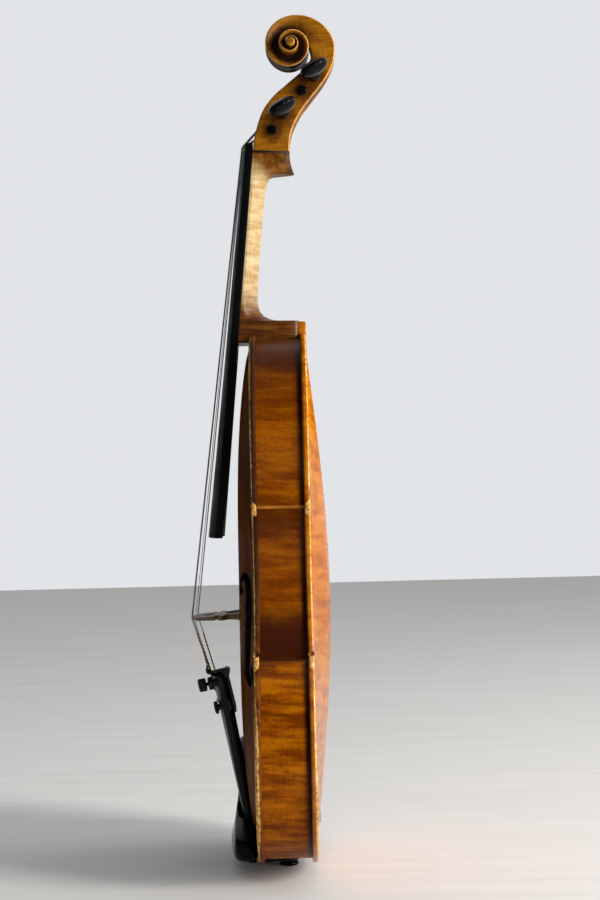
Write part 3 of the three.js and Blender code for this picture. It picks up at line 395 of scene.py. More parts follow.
def rib_patches(look, colour, dark):
    """Darker varnish where the ribs meet and at the top, as the ribs show, and a painted shadow along the
    ribs' back edge, under the back plate's overhang.
    """
    height = look.axis(look.place(), 2)
    wobble = look.math("MULTIPLY", look.noise(look.place((0.05, 0.05, 0.05)), 3, 0.6), 26)
    moved = look.math("ADD", height, look.math("SUBTRACT", wobble, 13))
    colour = look.mix(look.step(height, 140, 158, (0.0, 0.42)), colour, dark)
    joint = look.math("MULTIPLY", look.step(height, 147.8, 149.4), look.step(height, 176, 160))
    colour = look.mix(look.math("MULTIPLY", joint, 0.85), colour, (0.045, 0.009, 0.003))
    colour = look.mix(look.step(moved, 296, 346, (0.0, 0.55)), colour, (0.06, 0.012, 0.002))
    speckle = look.noise(look.place((0.35, 0.35, 0.5)), 3, 0.7)
    colour = look.mix(look.step(speckle, 0.5, 0.68, (0.0, 0.35)), colour, (0.07, 0.014, 0.001))
    # painted shadow: the ribs darken towards the back plate, as in the shade of its overhang
    across = look.axis(look.place(), 0)
    corner = look.math("ADD", across, look.math("MULTIPLY", speckle, 1.6))
    colour = look.mix(look.step(corner, 12.2, 15.4, (0.0, 0.92)), colour, (0.014, 0.003, 0.0015))
    seam = look.math("MULTIPLY", look.step(height, 244.2, 244.8), look.step(height, 246.6, 246.0))
    colour = look.mix(look.math("MULTIPLY", seam, 0.7), colour, (0.55, 0.22, 0.03))
    for low, high, share in ((336, 354, 0.7), (228, 246, 0.55), (146, 176, 0.9), (5, 12, 0.5)):
        middle, half = (low + high) / 2, (high - low) / 2
        away = look.math("ABSOLUTE", look.math("SUBTRACT", moved, middle))
        colour = look.mix(look.step(away, half * 1.6, half * 0.4, (0.0, share)), colour,
                          (0.045, 0.009, 0.003))
    return colour


def belly_flank_shade(look, colour, dark):
    """Painted shade along the flanks of the upper half, which darkens them as if they lay in shade."""
    place = look.place()
    height, side = look.axis(place, 2), look.math("ABSOLUTE", look.axis(place, 1))
    cloud = look.math("MULTIPLY", look.noise(look.place((0.03, 0.03, 0.02)), 4, 0.6), 24)
    flank = look.step(look.math("ADD", side, cloud), 34, 60)
    upper = look.step(look.math("ADD", height, cloud), 150, 215, (0.0, 0.85))
    return look.mix(look.math("MULTIPLY", flank, upper), colour, (0.022, 0.006, 0.002))


def head_patches(look, colour, dark):
    """Darker spots round the pegs and beside the scroll, dark specks, painted shade with old varnish in the
    hollows of the carving, inside the pegbox and under the scroll's turn, and a lighter colour along the
    chamfers, part rubbed varnish and part painted highlight.
    """
    place = look.place()
    across, up = look.axis(place, 0), look.axis(place, 2)
    mottle = look.noise(look.place((0.28, 0.28, 0.28)), 4, 0.7)
    # darker round each of these spots: the pegs and two beside the scroll
    for x, z in HEAD_DARK_SPOTS:
        away = look.math("POWER", look.math("SUBTRACT", across, x), 2)
        away = look.math("ADD", away, look.math("POWER", look.math("SUBTRACT", up, z + LIFT), 2))
        away = look.math("ADD", look.math("SQRT", away), look.math("MULTIPLY", mottle, 9))
        colour = look.mix(look.step(away, 17.5, 9.0, (0.0, 0.85)), colour, (0.05, 0.013, 0.002))
    speckle = look.noise(look.place((0.5, 0.5, 0.5)), 4, 0.75)
    colour = look.mix(look.step(speckle, 0.5, 0.68, (0.0, 0.5)), colour, (0.08, 0.022, 0.003))
    # painted shade, with old varnish, in the carving's hollows, on the pegbox's inner walls and under the
    # scroll's turn
    hollow = look.value("hollow")
    ragged = look.math("ADD", hollow, look.math("MULTIPLY", mottle, 0.3))
    colour = look.mix(look.step(ragged, 0.22, 0.6, (0.0, 0.98)), colour, (0.011, 0.003, 0.0015))
    # lighter along the chamfers: rubbed varnish and a painted highlight
    edge = look.value("edge")
    rub = look.math("ADD", edge, look.math("MULTIPLY", look.noise(look.place((0.4, 0.4, 0.4)), 2, 0.5), 0.5))
    return look.mix(look.step(rub, 0.95, 1.3, (0.0, 0.8)), colour, (0.60, 0.30, 0.07))


def neck_fade(look, colour):
    """Bare oiled maple along the handle, brown varnish at the heel and the chin."""
    place = look.place()
    height, across = look.axis(place, 2), look.axis(place, 0)
    stripes = look.noise(look.grain((0.34, 0.05, 0.05)), 2, 0.5, 0.3)
    fibres = look.noise(look.grain((0.03, 1.6, 1.6)), 4, 0.6)
    tone = look.math("ADD", look.math("MULTIPLY", stripes, 0.6), look.math("MULTIPLY", fibres, 0.4))
    bare = look.ramp(tone, [(0.36, (0.33, 0.185, 0.058)), (0.5, (0.46, 0.32, 0.145)),
                            (0.62, (0.56, 0.43, 0.235))])
    blotch = look.noise(look.place((0.16, 0.16, 0.16)), 4, 0.6)
    golden = look.ramp(blotch, [(0.34, (0.07, 0.019, 0.002)), (0.5, (0.15, 0.050, 0.004)),
                                (0.66, (0.27, 0.11, 0.012))])
    golden = look.mix(look.step(across, 4, 13, (0.0, 0.75)), golden, (0.035, 0.010, 0.002))
    colour = look.mix(look.step(height, 420, 440), colour, golden)
    mottle = look.math("MULTIPLY", look.noise(look.place((0.12, 0.12, 0.12)), 3, 0.6), 16)
    moved = look.math("ADD", height, look.math("SUBTRACT", mottle, 8))
    slanted = look.math("ADD", moved, look.math("MULTIPLY", across, 1.1))
    shown = look.math("MULTIPLY", look.step(moved, 374, 396), look.step(slanted, 474, 456))
    return look.mix(shown, colour, bare)


def black_wood(name, base=(0.0015, 0.0014, 0.0014), rough=0.13, coat=0.02, streak=0.06, shine=0.07):
    look = Look(name)
    fibres = look.noise(look.grain((0.03, 1.4, 1.4)), 4, 0.6)
    pores = look.noise(look.grain((0.2, 3.2, 3.2)), 2, 0.5)
    colour = look.ramp(fibres, [(0.35, base), (0.62, tuple(c * 1.8 + 0.001 for c in base)),
                                (0.8, (0.05 * streak, 0.03 * streak, 0.02 * streak))])
    smear = look.noise(look.place((0.05, 0.05, 0.05)), 4, 0.65)
    roughness = look.step(smear, 0.3, 0.7, (rough - 0.08, rough + 0.14))
    normal = look.bump(look.step(pores, 0.52, 0.66), 0.008)
    normal = look.bump(fibres, 0.006, under=normal)
    return look.finish(Base_Color=colour, Roughness=roughness, Coat_Weight=coat, Coat_Roughness=0.08,
                       Specular_IOR_Level=shine, Normal=normal)


def bare_wood(name, dark, light, rough=0.6):
    look = Look(name)
    rings = look.noise(look.grain((0.01, 0.8, 0.8)), 3, 0.6, 0.3)
    flecks = look.noise(look.grain((0.7, 1.4, 5.0)), 2, 0.5)
    colour = look.ramp(rings, [(0.3, dark), (0.7, light)])
    colour = look.mix(look.step(flecks, 0.58, 0.68, (0.0, 0.4)), colour, tuple(c * 0.55 for c in dark))
    grime = look.noise(look.place((0.08, 0.08, 0.08)), 4, 0.6)
    colour = look.mix(look.step(grime, 0.5, 0.75, (0.0, 0.4)), colour, tuple(c * 0.4 for c in dark))
    return look.finish(Base_Color=colour, Roughness=rough, Normal=look.bump(flecks, 0.03))


def metal(name, colour, rough, metallic=1.0):
    look = Look(name)
    rub = look.noise(look.place((0.9, 0.9, 0.9)), 3, 0.6)
    tone = look.ramp(rub, [(0.35, colour), (0.75, tuple(min(1, c * 1.5 + 0.01) for c in colour))])
    roughness = look.step(look.noise(look.place((0.25, 0.25, 0.25)), 4, 0.6), 0.3, 0.7, (rough, rough + 0.18))
    return look.finish(Base_Color=tone, Metallic=metallic, Roughness=roughness,
                       Normal=look.bump(rub, 0.012))


def string_look(name, colour):
    """Fine metal winding, with silk in gold and black where the string is lapped."""
    look = Look(name)
    along = look.value("along")
    ridge = look.math("ABSOLUTE", look.math("SINE", look.math("MULTIPLY", along, 14)))
    turn = look.math("FRACT", look.math("DIVIDE", look.math("ADD", along, look.value("around")), 2.6))
    stripe = look.step(look.math("ABSOLUTE", look.math("SUBTRACT", turn, 0.5)), 0.16, 0.24)
    silk = look.mix(stripe, (0.62, 0.36, 0.09), (0.012, 0.01, 0.01))
    lapped = look.step(look.value("silk"), 0.4, 0.6)
    tone = look.mix(look.math("MULTIPLY", ridge, 0.45), tuple(c * 0.5 for c in colour), colour)
    rough = look.step(lapped, 0, 1, (0.28, 0.75))
    return look.finish(Base_Color=look.mix(lapped, tone, silk), Roughness=rough,
                       Metallic=look.step(lapped, 0, 1, (1.0, 0.0)), Normal=look.bump(ridge, 0.02))


def cork_look():
    look = Look("cork")
    cells = look.node("ShaderNodeTexVoronoi", feature="F1")
    look.put(cells.inputs["Vector"], look.place((1.1, 1.1, 1.1)))
    look.put(cells.inputs["Scale"], 1.0)
    colour = look.ramp(cells.outputs["Distance"], [(0.1, (0.16, 0.08, 0.03)), (0.6, (0.47, 0.29, 0.14))])
    return look.finish(Base_Color=colour, Roughness=0.85, Normal=look.bump(cells.outputs["Distance"], 0.1))


HEAD_DARK_SPOTS = [(0.6, 494.7), (7.7, 505.2), (21.4, 521.4), (29.4, 530.9), (26, 540), (20, 536)]
MAPLE_RIB = varnished("maple_ribs", (0.14, 0.029, 0.0003), (0.27, 0.065, 0.0003), (0.42, 0.125, 0.0005),
                      flame=(0.19, 0.03, 0.016), soft=0.245, patches=rib_patches, coat=0.0, shine=0.06)
MAPLE_BACK = varnished("maple_back", (0.28, 0.068, 0.002), (0.42, 0.120, 0.003), (0.51, 0.18, 0.008),
                       flame=(0.17, 0.022, 0.01), soft=0.28, worn=0.35, gloss=0.28, coat=0.32, shine=0.25,
                       dull_top=True)
# the belly's upper flanks get a painted shade
SPRUCE = varnished("spruce_belly", (0.07, 0.015, 0.002), (0.13, 0.032, 0.003), (0.20, 0.058, 0.007),
                   soft=0.26, patches=belly_flank_shade, worn=1.5, straight=True, gloss=0.55, coat=0.0,
                   shine=0.08)
HEAD_WOOD = varnished("maple_head", (0.21, 0.068, 0.002), (0.31, 0.115, 0.004), (0.40, 0.17, 0.012),
                      flame=(0.55, 0.16, 0.06), soft=0.4, patches=head_patches, coat=0.1, shine=0.15)
NECK_WOOD = varnished("maple_neck", (0.06, 0.016, 0.002), (0.11, 0.034, 0.005), (0.17, 0.060, 0.008),
                      flame=(0.3, 0.05, 0.03), soft=0.24, pale=neck_fade, coat=0.06, shine=0.12)
EBONY = black_wood("ebony")
EBONY_BOARD = black_wood("ebony_fingerboard", base=(0.0018, 0.0019, 0.0022), rough=0.42, coat=0.0, shine=0.06)
BLACK_FITTING = black_wood("black_fitting", base=(0.003, 0.003, 0.0032), rough=0.36, coat=0.04, shine=0.2)
BRIDGE_WOOD = bare_wood("bridge_maple", (0.10, 0.055, 0.024), (0.24, 0.145, 0.07), 0.5)
CORNER_LOOK = bare_wood("dark_wood", (0.018, 0.006, 0.002), (0.05, 0.016, 0.004), 0.6)
BARE = bare_wood("bare_wood", (0.42, 0.27, 0.13), (0.66, 0.48, 0.27), 0.7)
BLACK_METAL = metal("black_metal", (0.022, 0.022, 0.025), 0.28)
NICKEL = metal("nickel", (0.42, 0.41, 0.39), 0.22)
STRING_METAL = string_look("wound_string", (0.72, 0.71, 0.68))
STRING_STEEL = string_look("plain_string", (0.80, 0.79, 0.77))
NYLON = black_wood("black_nylon", base=(0.012, 0.012, 0.013), rough=0.4, coat=0.0, shine=0.3)
CORK = cork_look()


# ------------------------------------------------------------------ the body's outline
OUTLINE = {
    "lower": [[(0, 0), (56, 0), (104, 22), (104, 74)],
              [(104, 74), (104, 96), (92.5, 108), (91.8, 125)],
              [(91.8, 125), (91.6, 131), (93, 136), (95, 140)]],
    "middle": [[(90.8, 147), (76, 142), (56.5, 158), (54.6, 190)],
               [(54.6, 190), (53.6, 212), (60, 231), (73.6, 235)]],
    "upper": [[(78, 240.5), (76.2, 245), (75.6, 250), (76.4, 256)],
              [(76.4, 256), (78, 268), (84, 276), (84, 292)],
              [(84, 292), (84, 330), (46, 356), (0, 356)]],
}
BODY_LENGTH = 356.0
BACK_PLANE = 15.75
EDGE = 4.0
ARCH = 14.5  # crown of the belly above its glue plane
SPINE = (48.0, 308.0)
OVERHANG = 2.8
STEP = 1.9


def belly_plane(z):
    return BACK_PLANE - (31.5 - 1.5 * np.asarray(z) / BODY_LENGTH)


def bout(name, spacing=STEP):
    """Evenly spaced outline points of one bout, and their unit normals into the body."""
    points = []
    for stretch in OUTLINE[name]:
        a, b, c, d = (np.array(p, float) for p in stretch)
        for t in np.linspace(0, 1, 120):
            u = 1 - t
            points.append(u**3 * a + 3 * u * u * t * b + 3 * u * t * t * c + t**3 * d)
    points = resample(points, spacing)
    along = np.gradient(points, axis=0)
    along /= np.linalg.norm(along, axis=1)[:, None]
    return points, np.stack([-along[:, 1], along[:, 0]], axis=1)


RIB_BOUTS = {name: bout(name) for name in OUTLINE}
# the plates' lower corners are shorter than the ribs' line
OUTLINE["middle"][0][:2] = (91.8, 145.6), (77, 141.5)
BOUTS = {name: bout(name) for name in OUTLINE}
HALF = np.concatenate([
    BOUTS["lower"][0],
    resample([BOUTS["lower"][0][-1], BOUTS["middle"][0][0]], STEP)[1:-1],
    BOUTS["middle"][0],
    resample([BOUTS["middle"][0][-1], BOUTS["upper"][0][0]], STEP)[1:-1],
    BOUTS["upper"][0],
])
TRAVEL = np.concatenate([[0], np.cumsum(np.linalg.norm(np.diff(HALF, axis=0), axis=1))])
SPINE_Z = SPINE[0] + (SPINE[1] - SPINE[0]) * TRAVEL / TRAVEL[-1]


def distance_to(points, lines):
    """Distance from each point to the nearest of several polylines."""
    best = np.full(len(points), 1e9)
    for line in lines:
        for a, b in zip(line[:-1], line[1:]):
            ab = b - a
            t = np.clip(((points - a) @ ab) / max(ab @ ab, 1e-9), 0, 1)
            best = np.minimum(best, np.linalg.norm(points - a - t[:, None] * ab, axis=1))
    return best


def belly_rise(z):
    """Crown line above the edge: long and flat on the belly."""
    share = np.abs(2 * np.clip(z, 0, BODY_LENGTH) / BODY_LENGTH - 1)
    return (ARCH - EDGE) * (1 - share ** 3.3)


def back_rise(z):
    """Crown line above the edge: the back falls away steadily from its middle."""
    return 12.6 * np.sin(np.pi * np.clip(z - 8, 0, 340) / 340) ** 1.1


CROWN_LINE = (15, 341)


def arch_field():
    """Share of the crown's height on a 1 mm grid: a potential from the outline to the crown line."""
    ny, nz = 108, 360
    yy, zz = np.meshgrid(np.arange(ny), np.arange(nz), indexing="ij")
    inside = np.zeros(yy.shape, bool)
    ring = np.concatenate([HALF, [[0, BODY_LENGTH], [0, 0]]])
    for (y0, z0), (y1, z1) in zip(ring, np.roll(ring, -1, axis=0)):
        crosses = (z0 > zz) != (z1 > zz)
        span = z1 - z0 if abs(z1 - z0) > 1e-9 else 1e-9
        inside ^= crosses & (yy < y0 + (zz - z0) * (y1 - y0) / span)
    inside[0, 1:int(BODY_LENGTH)] = True
    fixed = np.zeros(yy.shape, bool)
    fixed[0, CROWN_LINE[0]:CROWN_LINE[1] + 1] = True
    field = np.where(inside, 0.5, 0.0)
    field[fixed] = 1.0
    free = inside & ~fixed
    colour = (yy + zz) % 2
    for turn in range(900):
        for which in (0, 1):
            around = np.empty_like(field)
            mirrored = np.concatenate([field[1:2], field[:-1]])
            beyond = np.concatenate([field[1:], field[-1:] * 0])
            around = (mirrored + beyond + np.roll(field, 1, 1) + np.roll(field, -1, 1)) / 4
            pick = free & (colour == which)
            field[pick] += 1.93 * (around[pick] - field[pick])
    field = np.clip(field, 0, 1)
    full = np.clip((field - 0.25) / 0.46, 0, 1)  # the belly lies low at the edge, then climbs steeply
    heights = []
    for rise, share in ((belly_rise, 0.5 - 0.5 * np.cos(np.pi * full)),
                        (back_rise, 0.5 - 0.5 * np.cos(np.pi * field ** 0.92))):
        arch = rise(zz) * share
        for turn in range(16):
            mirrored = np.concatenate([arch[1:2], arch[:-1]])
            beyond = np.concatenate([arch[1:], arch[-1:] * 0])
            arch = np.where(inside, (mirrored + 2 * arch + beyond) / 4, 0)
            arch = np.where(inside, (np.roll(arch, 1, 1) + 2 * arch + np.roll(arch, -1, 1)) / 4, 0)
        heights.append(arch * rise(zz).max() / arch.max())
    return heights


BELLY_ARCH, BACK_ARCH = arch_field()


def arching(field, side, z):
    """The arching above the edge at any points, by linear interpolation."""
    y = np.clip(np.abs(side), 0, field.shape[0] - 1.001)
    z = np.clip(z, 0, field.shape[1] - 1.001)
    i, j = y.astype(int), z.astype(int)
    u, v = y - i, z - j
    return ((1 - u) * (1 - v) * field[i, j] + u * (1 - v) * field[i + 1, j]
            + (1 - u) * v * field[i, j + 1] + u * v * field[i + 1, j + 1])


def belly_x(side, z, depth=0.0):
    side, z = np.atleast_1d(np.asarray(side, float)), np.atleast_1d(np.asarray(z, float))
    return float((belly_plane(z) - EDGE - arching(BELLY_ARCH, side, z))[0] + depth)


# ------------------------------------------------------------------ plates
TOP_RINGS = [1, .92, .84, .76, .68, .6, .53, .47, .41, .36, .31, .27, .235, .205, .18, .158, .138, .12, .104,
             .09, .078, .067, .058, .05, .043, .037, .031, .026, .0215, .0175, .014, .011, .008, .0055, .0035,
             .0018, .0006, 0]
UNDER_RINGS = [0, .0006, .0018, .004, .0075, .013, .025, .045, .07, .1, .14, .2, .28, .38, .5, .64, .8, 1]
BOUT_LINES = [BOUTS[name][0] for name in OUTLINE]
CORNER_TIPS = [[OUTLINE[low][-1][3], OUTLINE[high][0][0]]
               for low, high in (("lower", "middle"), ("middle", "upper"))]


def plate(name, plane, out, field, material):
    right = HALF
    left = HALF[::-1][1:-1] * (-1, 1)
    around = np.concatenate([right, left])
    crown = np.concatenate([SPINE_Z, SPINE_Z[::-1][1:-1]])
    rings = []
    for s, top in [(s, True) for s in TOP_RINGS] + [(s, False) for s in UNDER_RINGS]:
        flat = np.stack([around[:, 0] * (1 - s), around[:, 1] * (1 - s) + crown * s], axis=1)
        folded = flat * (np.where(flat[:, 0] < 0, -1, 1)[:, None] * (1, 0) + (0, 1))
        to_bouts = distance_to(folded, BOUT_LINES)
        to_edge = np.minimum(to_bouts, distance_to(folded, [HALF])) if s else np.zeros(len(flat))
        arch = arching(field, flat[:, 0], flat[:, 1])
        if top:
            rounding = 1.7 * (1 - np.sqrt(np.clip(1 - np.clip(1 - to_edge / 1.9, 0, 1) ** 2, 0, 1)))
            channel = (0.75 * np.exp(-((to_bouts - 5.2) / 2.4) ** 2)
                       - 0.2 * np.exp(-((to_bouts - 2.0) / 0.9) ** 2))
            height = EDGE + arch - channel - rounding
        else:
            rounding = 1.4 * (1 - np.sqrt(np.clip(1 - np.clip(1 - to_edge / 1.4, 0, 1) ** 2, 0, 1)))
            height = np.maximum(rounding, np.where(s > 0.08, np.maximum(arch + EDGE - 3.2, 0), 0))
        rings.append([(x, y, z) for x, (y, z) in zip(plane(flat[:, 1]) + out * height, flat)])
    verts, faces = loft(rings, caps=False)
    grain = np.array(verts)[:, [2, 1, 0]]
    obj = make(name, verts, faces, material, {"belly": "spruce", "back": "maple"}[name], (name,),
               grain=grain)
    return obj


def mark_edges(obj, plane, out, field, holes=()):
    """Stores how far each point lies from the worn outer corner and the purfling's line, and how much painted
    shade darkens the inside and the sound holes' walls.
    """
    count = len(obj.data.vertices)
    at = np.empty(count * 3)
    obj.data.vertices.foreach_get("co", at)
    x, y, z = (at.reshape(-1, 3) / MM).T
    z = z - LIFT
    flat = np.stack([np.abs(y), z], axis=1)
    to_bouts = distance_to(flat, BOUT_LINES)
    to_edge = np.minimum(to_bouts, distance_to(flat, [HALF]))
    height = out * (x - plane(z))
    corner = np.hypot(np.where(to_edge > 0.5, to_edge - 0.5, 0), np.maximum(0, 3.3 - height))
    to_tip = distance_to(flat, [np.array(tip, float) for tip in CORNER_TIPS])
    corner -= 3.6 * np.clip((2.4 - to_tip) / 1.4, 0, 1) * np.clip((height + 0.4) / 1.2, 0, 1)
    # painted shade for the plates' inner faces and the sound holes' walls
    painted_shade_inside = np.clip((arching(field, y, z) + EDGE - 1.0 - height) / 0.6, 0, 1) * (to_edge > 6)
    if holes:
        near = (np.abs(y) > 15) & (np.abs(y) < 60) & (z > 118) & (z < 200)
        painted_shade_inside[near] = np.maximum(painted_shade_inside[near], distance_to(flat[near], holes) < 0.12)
    attribute(obj.data, "edge", corner)
    attribute(obj.data, "purfling", np.where((height > 2.5) & (to_edge > 2.8), to_bouts, 20.0))
    attribute(obj.data, "inner", painted_shade_inside)


def sound_hole(side):
    """The cutter of one sound hole: a swelling stem, two wings, nicks and round eyes."""
    spine = curve_through([(23.5, 183.6), (24.2, 189.8), (28.6, 193.4), (32.6, 190), (34.6, 179), (36.8, 158),
                           (39, 138), (41.3, 127.6), (45.2, 124), (49.2, 126.6), (50, 132)], 12)
    share = np.linspace(0, 1, len(spine))
    along = np.gradient(spine, axis=0)
    along /= np.linalg.norm(along, axis=1)[:, None]
    normal = np.stack([-along[:, 1], along[:, 0]], axis=1)
    half = 0.8 + 3.1 * np.sin(np.pi * share) ** 1.5
    outline = np.concatenate([spine + normal * half[:, None], (spine - normal * half[:, None])[::-1]])
    solids = [outline]
    for (w, z, r) in ((23.5, 183.6, 3.2), (50, 132, 3.9)):
        turns = np.linspace(0, 2 * np.pi, 40, endpoint=False)
        solids.append(np.stack([w + r * np.cos(turns), z + r * np.sin(turns)], axis=1))
    middle = spine[len(spine) // 2]
    for hand in (-1, 1):
        tip = middle + np.array([hand * 4.6, 0])
        solids.append(np.array([tip, middle + (0, 0.8), middle - (0, 0.8)]))
    return [np.stack([side * s[:, 0], s[:, 1]], axis=1) for s in solids]


def cutter(outlines, low, high, axes="yz"):
    verts, faces = [], []
    for outline in outlines:
        v, f = loft(prism(outline, low, high, axes))
        faces += [tuple(i + len(verts) for i in face) for face in f]
        verts += v
    return scratch("cutter", verts, faces)


belly = plate("belly", belly_plane, -1, BELLY_ARCH, SPRUCE)
for side in (1, -1):
    parts = sound_hole(side)
    for part in parts:
        boolean(belly, cutter([part], -45, -5))
boolean(belly, cutter([[(-17, 349.4), (17, 349.4), (17, 372), (-17, 372)]], -60, 0))
boolean(belly, cutter([[(-17.2, 6.1), (17.2, 6.1), (17.2, -4), (-17.2, -4)]], -40, 0))
mark_edges(belly, belly_plane, -1, BELLY_ARCH, [np.concatenate([part, part[:1]]) for part in sound_hole(1)])


def back_plane(z):
    return BACK_PLANE + 0 * z


back = plate("back", back_plane, 1, BACK_ARCH, MAPLE_BACK)
mark_edges(back, back_plane, 1, BACK_ARCH)

# the button that covers the foot of the neck
turns = np.linspace(0, np.pi, 25)
TAB_Z = 354.2
tab = [(10.8, 349)] + [(10.8 * math.cos(t), TAB_Z + 10.8 * math.sin(t)) for t in turns] + [(-10.8, 349)]
layers = ((0, 1, 2), (2.2, 1, 2), (3.3, 1, 0.9), (4.05, 0.985, 0.4), (4.35, 0.94, 0.5), (4.4, 0.85, 2),
          (4.4, 0.4, 5))
rings, worn_edge = [], []
for out, k, rub in layers:  # the lower end dips into the plate, so that the two read as one piece
    rings.append([(BACK_PLANE + (out if z > TAB_Z - 1 else min(out, 3.0)), y * k,
                   TAB_Z + (z - TAB_Z) * k if z > TAB_Z else z) for y, z in tab])
    worn_edge += [rub if z > TAB_Z - 1 else 5 for y, z in tab]
verts, faces = loft(rings)
make("back_button", verts, faces, MAPLE_BACK, "maple", grain=np.array(verts)[:, [2, 1, 0]],
     extra={"edge": worn_edge + [5, 5], "purfling": np.full(len(verts), 20.0),
            "inner": np.zeros(len(verts))}, angle=50)


# ------------------------------------------------------------------ ribs
def rib(name, bout_name, side):
    points, inward = RIB_BOUTS[bout_name]
    outer = points + OVERHANG * inward
    length = np.concatenate([[0], np.cumsum(np.linalg.norm(np.diff(outer, axis=0), axis=1))])
    meets = {"lower": (None, (92.0, 143.0)), "middle": ((91.9, 143.25), (75.1, 238.7)),
             "upper": ((75.5, 238.95), None)}[bout_name]
    for end, target in ((0, meets[0]), (-1, meets[1])):
        if target is None:
            continue
        reach = np.abs(length - length[end])
        pull = np.clip(1 - reach / 5, 0, 1) ** 1.5
        outer = outer + pull[:, None] * (np.array(target) - outer[end])
    along = np.gradient(outer, axis=0)
    along /= np.linalg.norm(along, axis=1)[:, None]
    normal = np.stack([-along[:, 1], along[:, 0]], axis=1)
    inner = outer + 1.15 * normal
    if bout_name == "upper":
        keep = outer[:, 0] > 16.4
        outer, inner, length = outer[keep], inner[keep], length[keep]
    rings, grain = [], []
    for (yo, zo), (yi, zi), travelled in zip(outer, inner, length):
        front, rear = float(belly_plane(zo)) + 0.05, BACK_PLANE - 0.05
        across = np.linspace(front, rear, 9)
        ring = [(x, side * yo, zo) for x in across] + [(x, side * yi, zi) for x in across[::-1]]
        rings.append(ring)
        grain += [(travelled + 400 * side, x, 31 * side) for x, _, _ in ring]
    verts, faces = loft(rings)
    grain += [grain[0], grain[-1]]
    make(name, verts, faces, MAPLE_RIB, "maple", (name,), grain=grain, angle=40)


for side_name, side in SIDES:
    for bout_name in OUTLINE:
        rib(f"rib_{bout_name}_{side_name}", bout_name, side)


# ------------------------------------------------------------------ neck
NUT_Z = 484.0
BOARD_LENGTH = 265.4


def glue_x(z):
    return -12.6 - 0.1 * (NUT_Z - z)


def board_half(z):
    return 12 + 9 * (NUT_Z - z) / BOARD_LENGTH


NECK = [  # height, back of the neck, half width at the back as a share, roundness
    (350, 15.72, 0.72, 0.11), (356, 15.72, 0.72, 0.11), (364.4, 15.72, 0.72, 0.11), (364.8, 15.5, 0.71, 0.12),
    (364.9, 12.0, 0.70, 0.18), (365.2, 5.0, 0.66, 0.26), (365.8, 0.0, 0.64, 0.34), (366.9, -4.0, 0.61, 0.38),
    (369.1, -8.2, 0.57, 0.44), (372.5, -11.0, 0.52, 0.5), (378.5, -12.3, 0.48, 0.55),
    (388, -12.0, 0.46, 0.55), (410, -10.2, 0.46, 0.55), (437, -7.4, 0.46, 0.55), (450, -5.9, 0.46, 0.54),
    (456.5, -4.9, 0.48, 0.5), (460.5, -3.6, 0.54, 0.44), (463.2, -1.8, 0.62, 0.38),
    (464.9, 1.2, 0.66, 0.34), (465.3, 6.5, 0.66, 0.4), (465.5, 14.4, 0.6, 0.5), (465.9, 15.0, 0.62, 0.48),
    (469, 13.6, 0.84, 0.28), (474, 12.3, 0.94, 0.16), (478.6, 11.9, 0.97, 0.1), (479.6, 11.9, 0.97, 0.1),
]


def neck():
    table = np.array(NECK)
    heights = np.unique(np.concatenate([resample(table[:, :2], 1.6)[:, 0], table[:, 0]]))
    rings = []
    for z in heights:
        back, share, round_ = (np.interp(z, table[:, 0], table[:, k]) for k in (1, 2, 3))
        front, half = glue_x(z), board_half(z) - 0.25
        ring = [(front, half, z)]
        for t in np.linspace(0, math.pi, 34):
            across = math.copysign(abs(math.cos(t)) ** (round_ * 2), math.cos(t))
            deep = abs(math.sin(t)) ** (round_ * 1.6)
            width = half + (half * share * 1.05 - half) * deep
            ring.append((front + 1.6 + (back - front - 1.6) * deep, across * width, z))
        ring.append((front, -half, z))
        rings.append(ring)
    verts, faces = loft(rings)
    make("neck", verts, faces, NECK_WOOD, "palemaple", ("neck",), grain=np.array(verts)[:, [2, 1, 0]],
         angle=48)


neck()


# ------------------------------------------------------------------ head
EYE = np.array([14.4, 552.9])
SPIRAL = [30.2, 21, 17.2, 14.8, 12.3, 9.6, 8.0, 6.4, 5.2, 4.4, 3.4, 2.8]
RIDGE = [8.1, 6.8, 8.4, 10.6, 12.8, 14.4, 15.7, 16.9, 17.9, 18.7, 19.3, 19.6]
DEPTH = [0.0, 1.6, 3.0, 3.4, 3.4, 3.2, 2.9, 2.6, 2.2, 1.8, 1.5, 1.3]
BACK_LINE = [(11.9, 480.0), (12.4, 487), (14.1, 494.7), (20.2, 506.8), (28.4, 517.4), (35.5, 526.2),
             (40.5, 534), (43.3, 540.5), (44.5, 547.5), (44.6, 552.9)]
FRONT_LINE = [(-12.4, 480.6), (-12.4, 486), (-11.4, 491), (-9, 499.6), (-5.2, 508.8), (1.8, 518),
              (10.8, 525.8), (21, 534.4), (25.0, 538.2), (27.0, 541.5), (28.3, 546), (26.9, 552.9)]
QUARTER_STEPS = 22


def at_quarter(table, quarters):
    line = curve_through([(i, v) for i, v in enumerate(table)], 16)
    return np.interp(quarters, line[:, 0], line[:, 1])


def cheek(z):
    return 12.4 - (z - NUT_Z) * 0.062


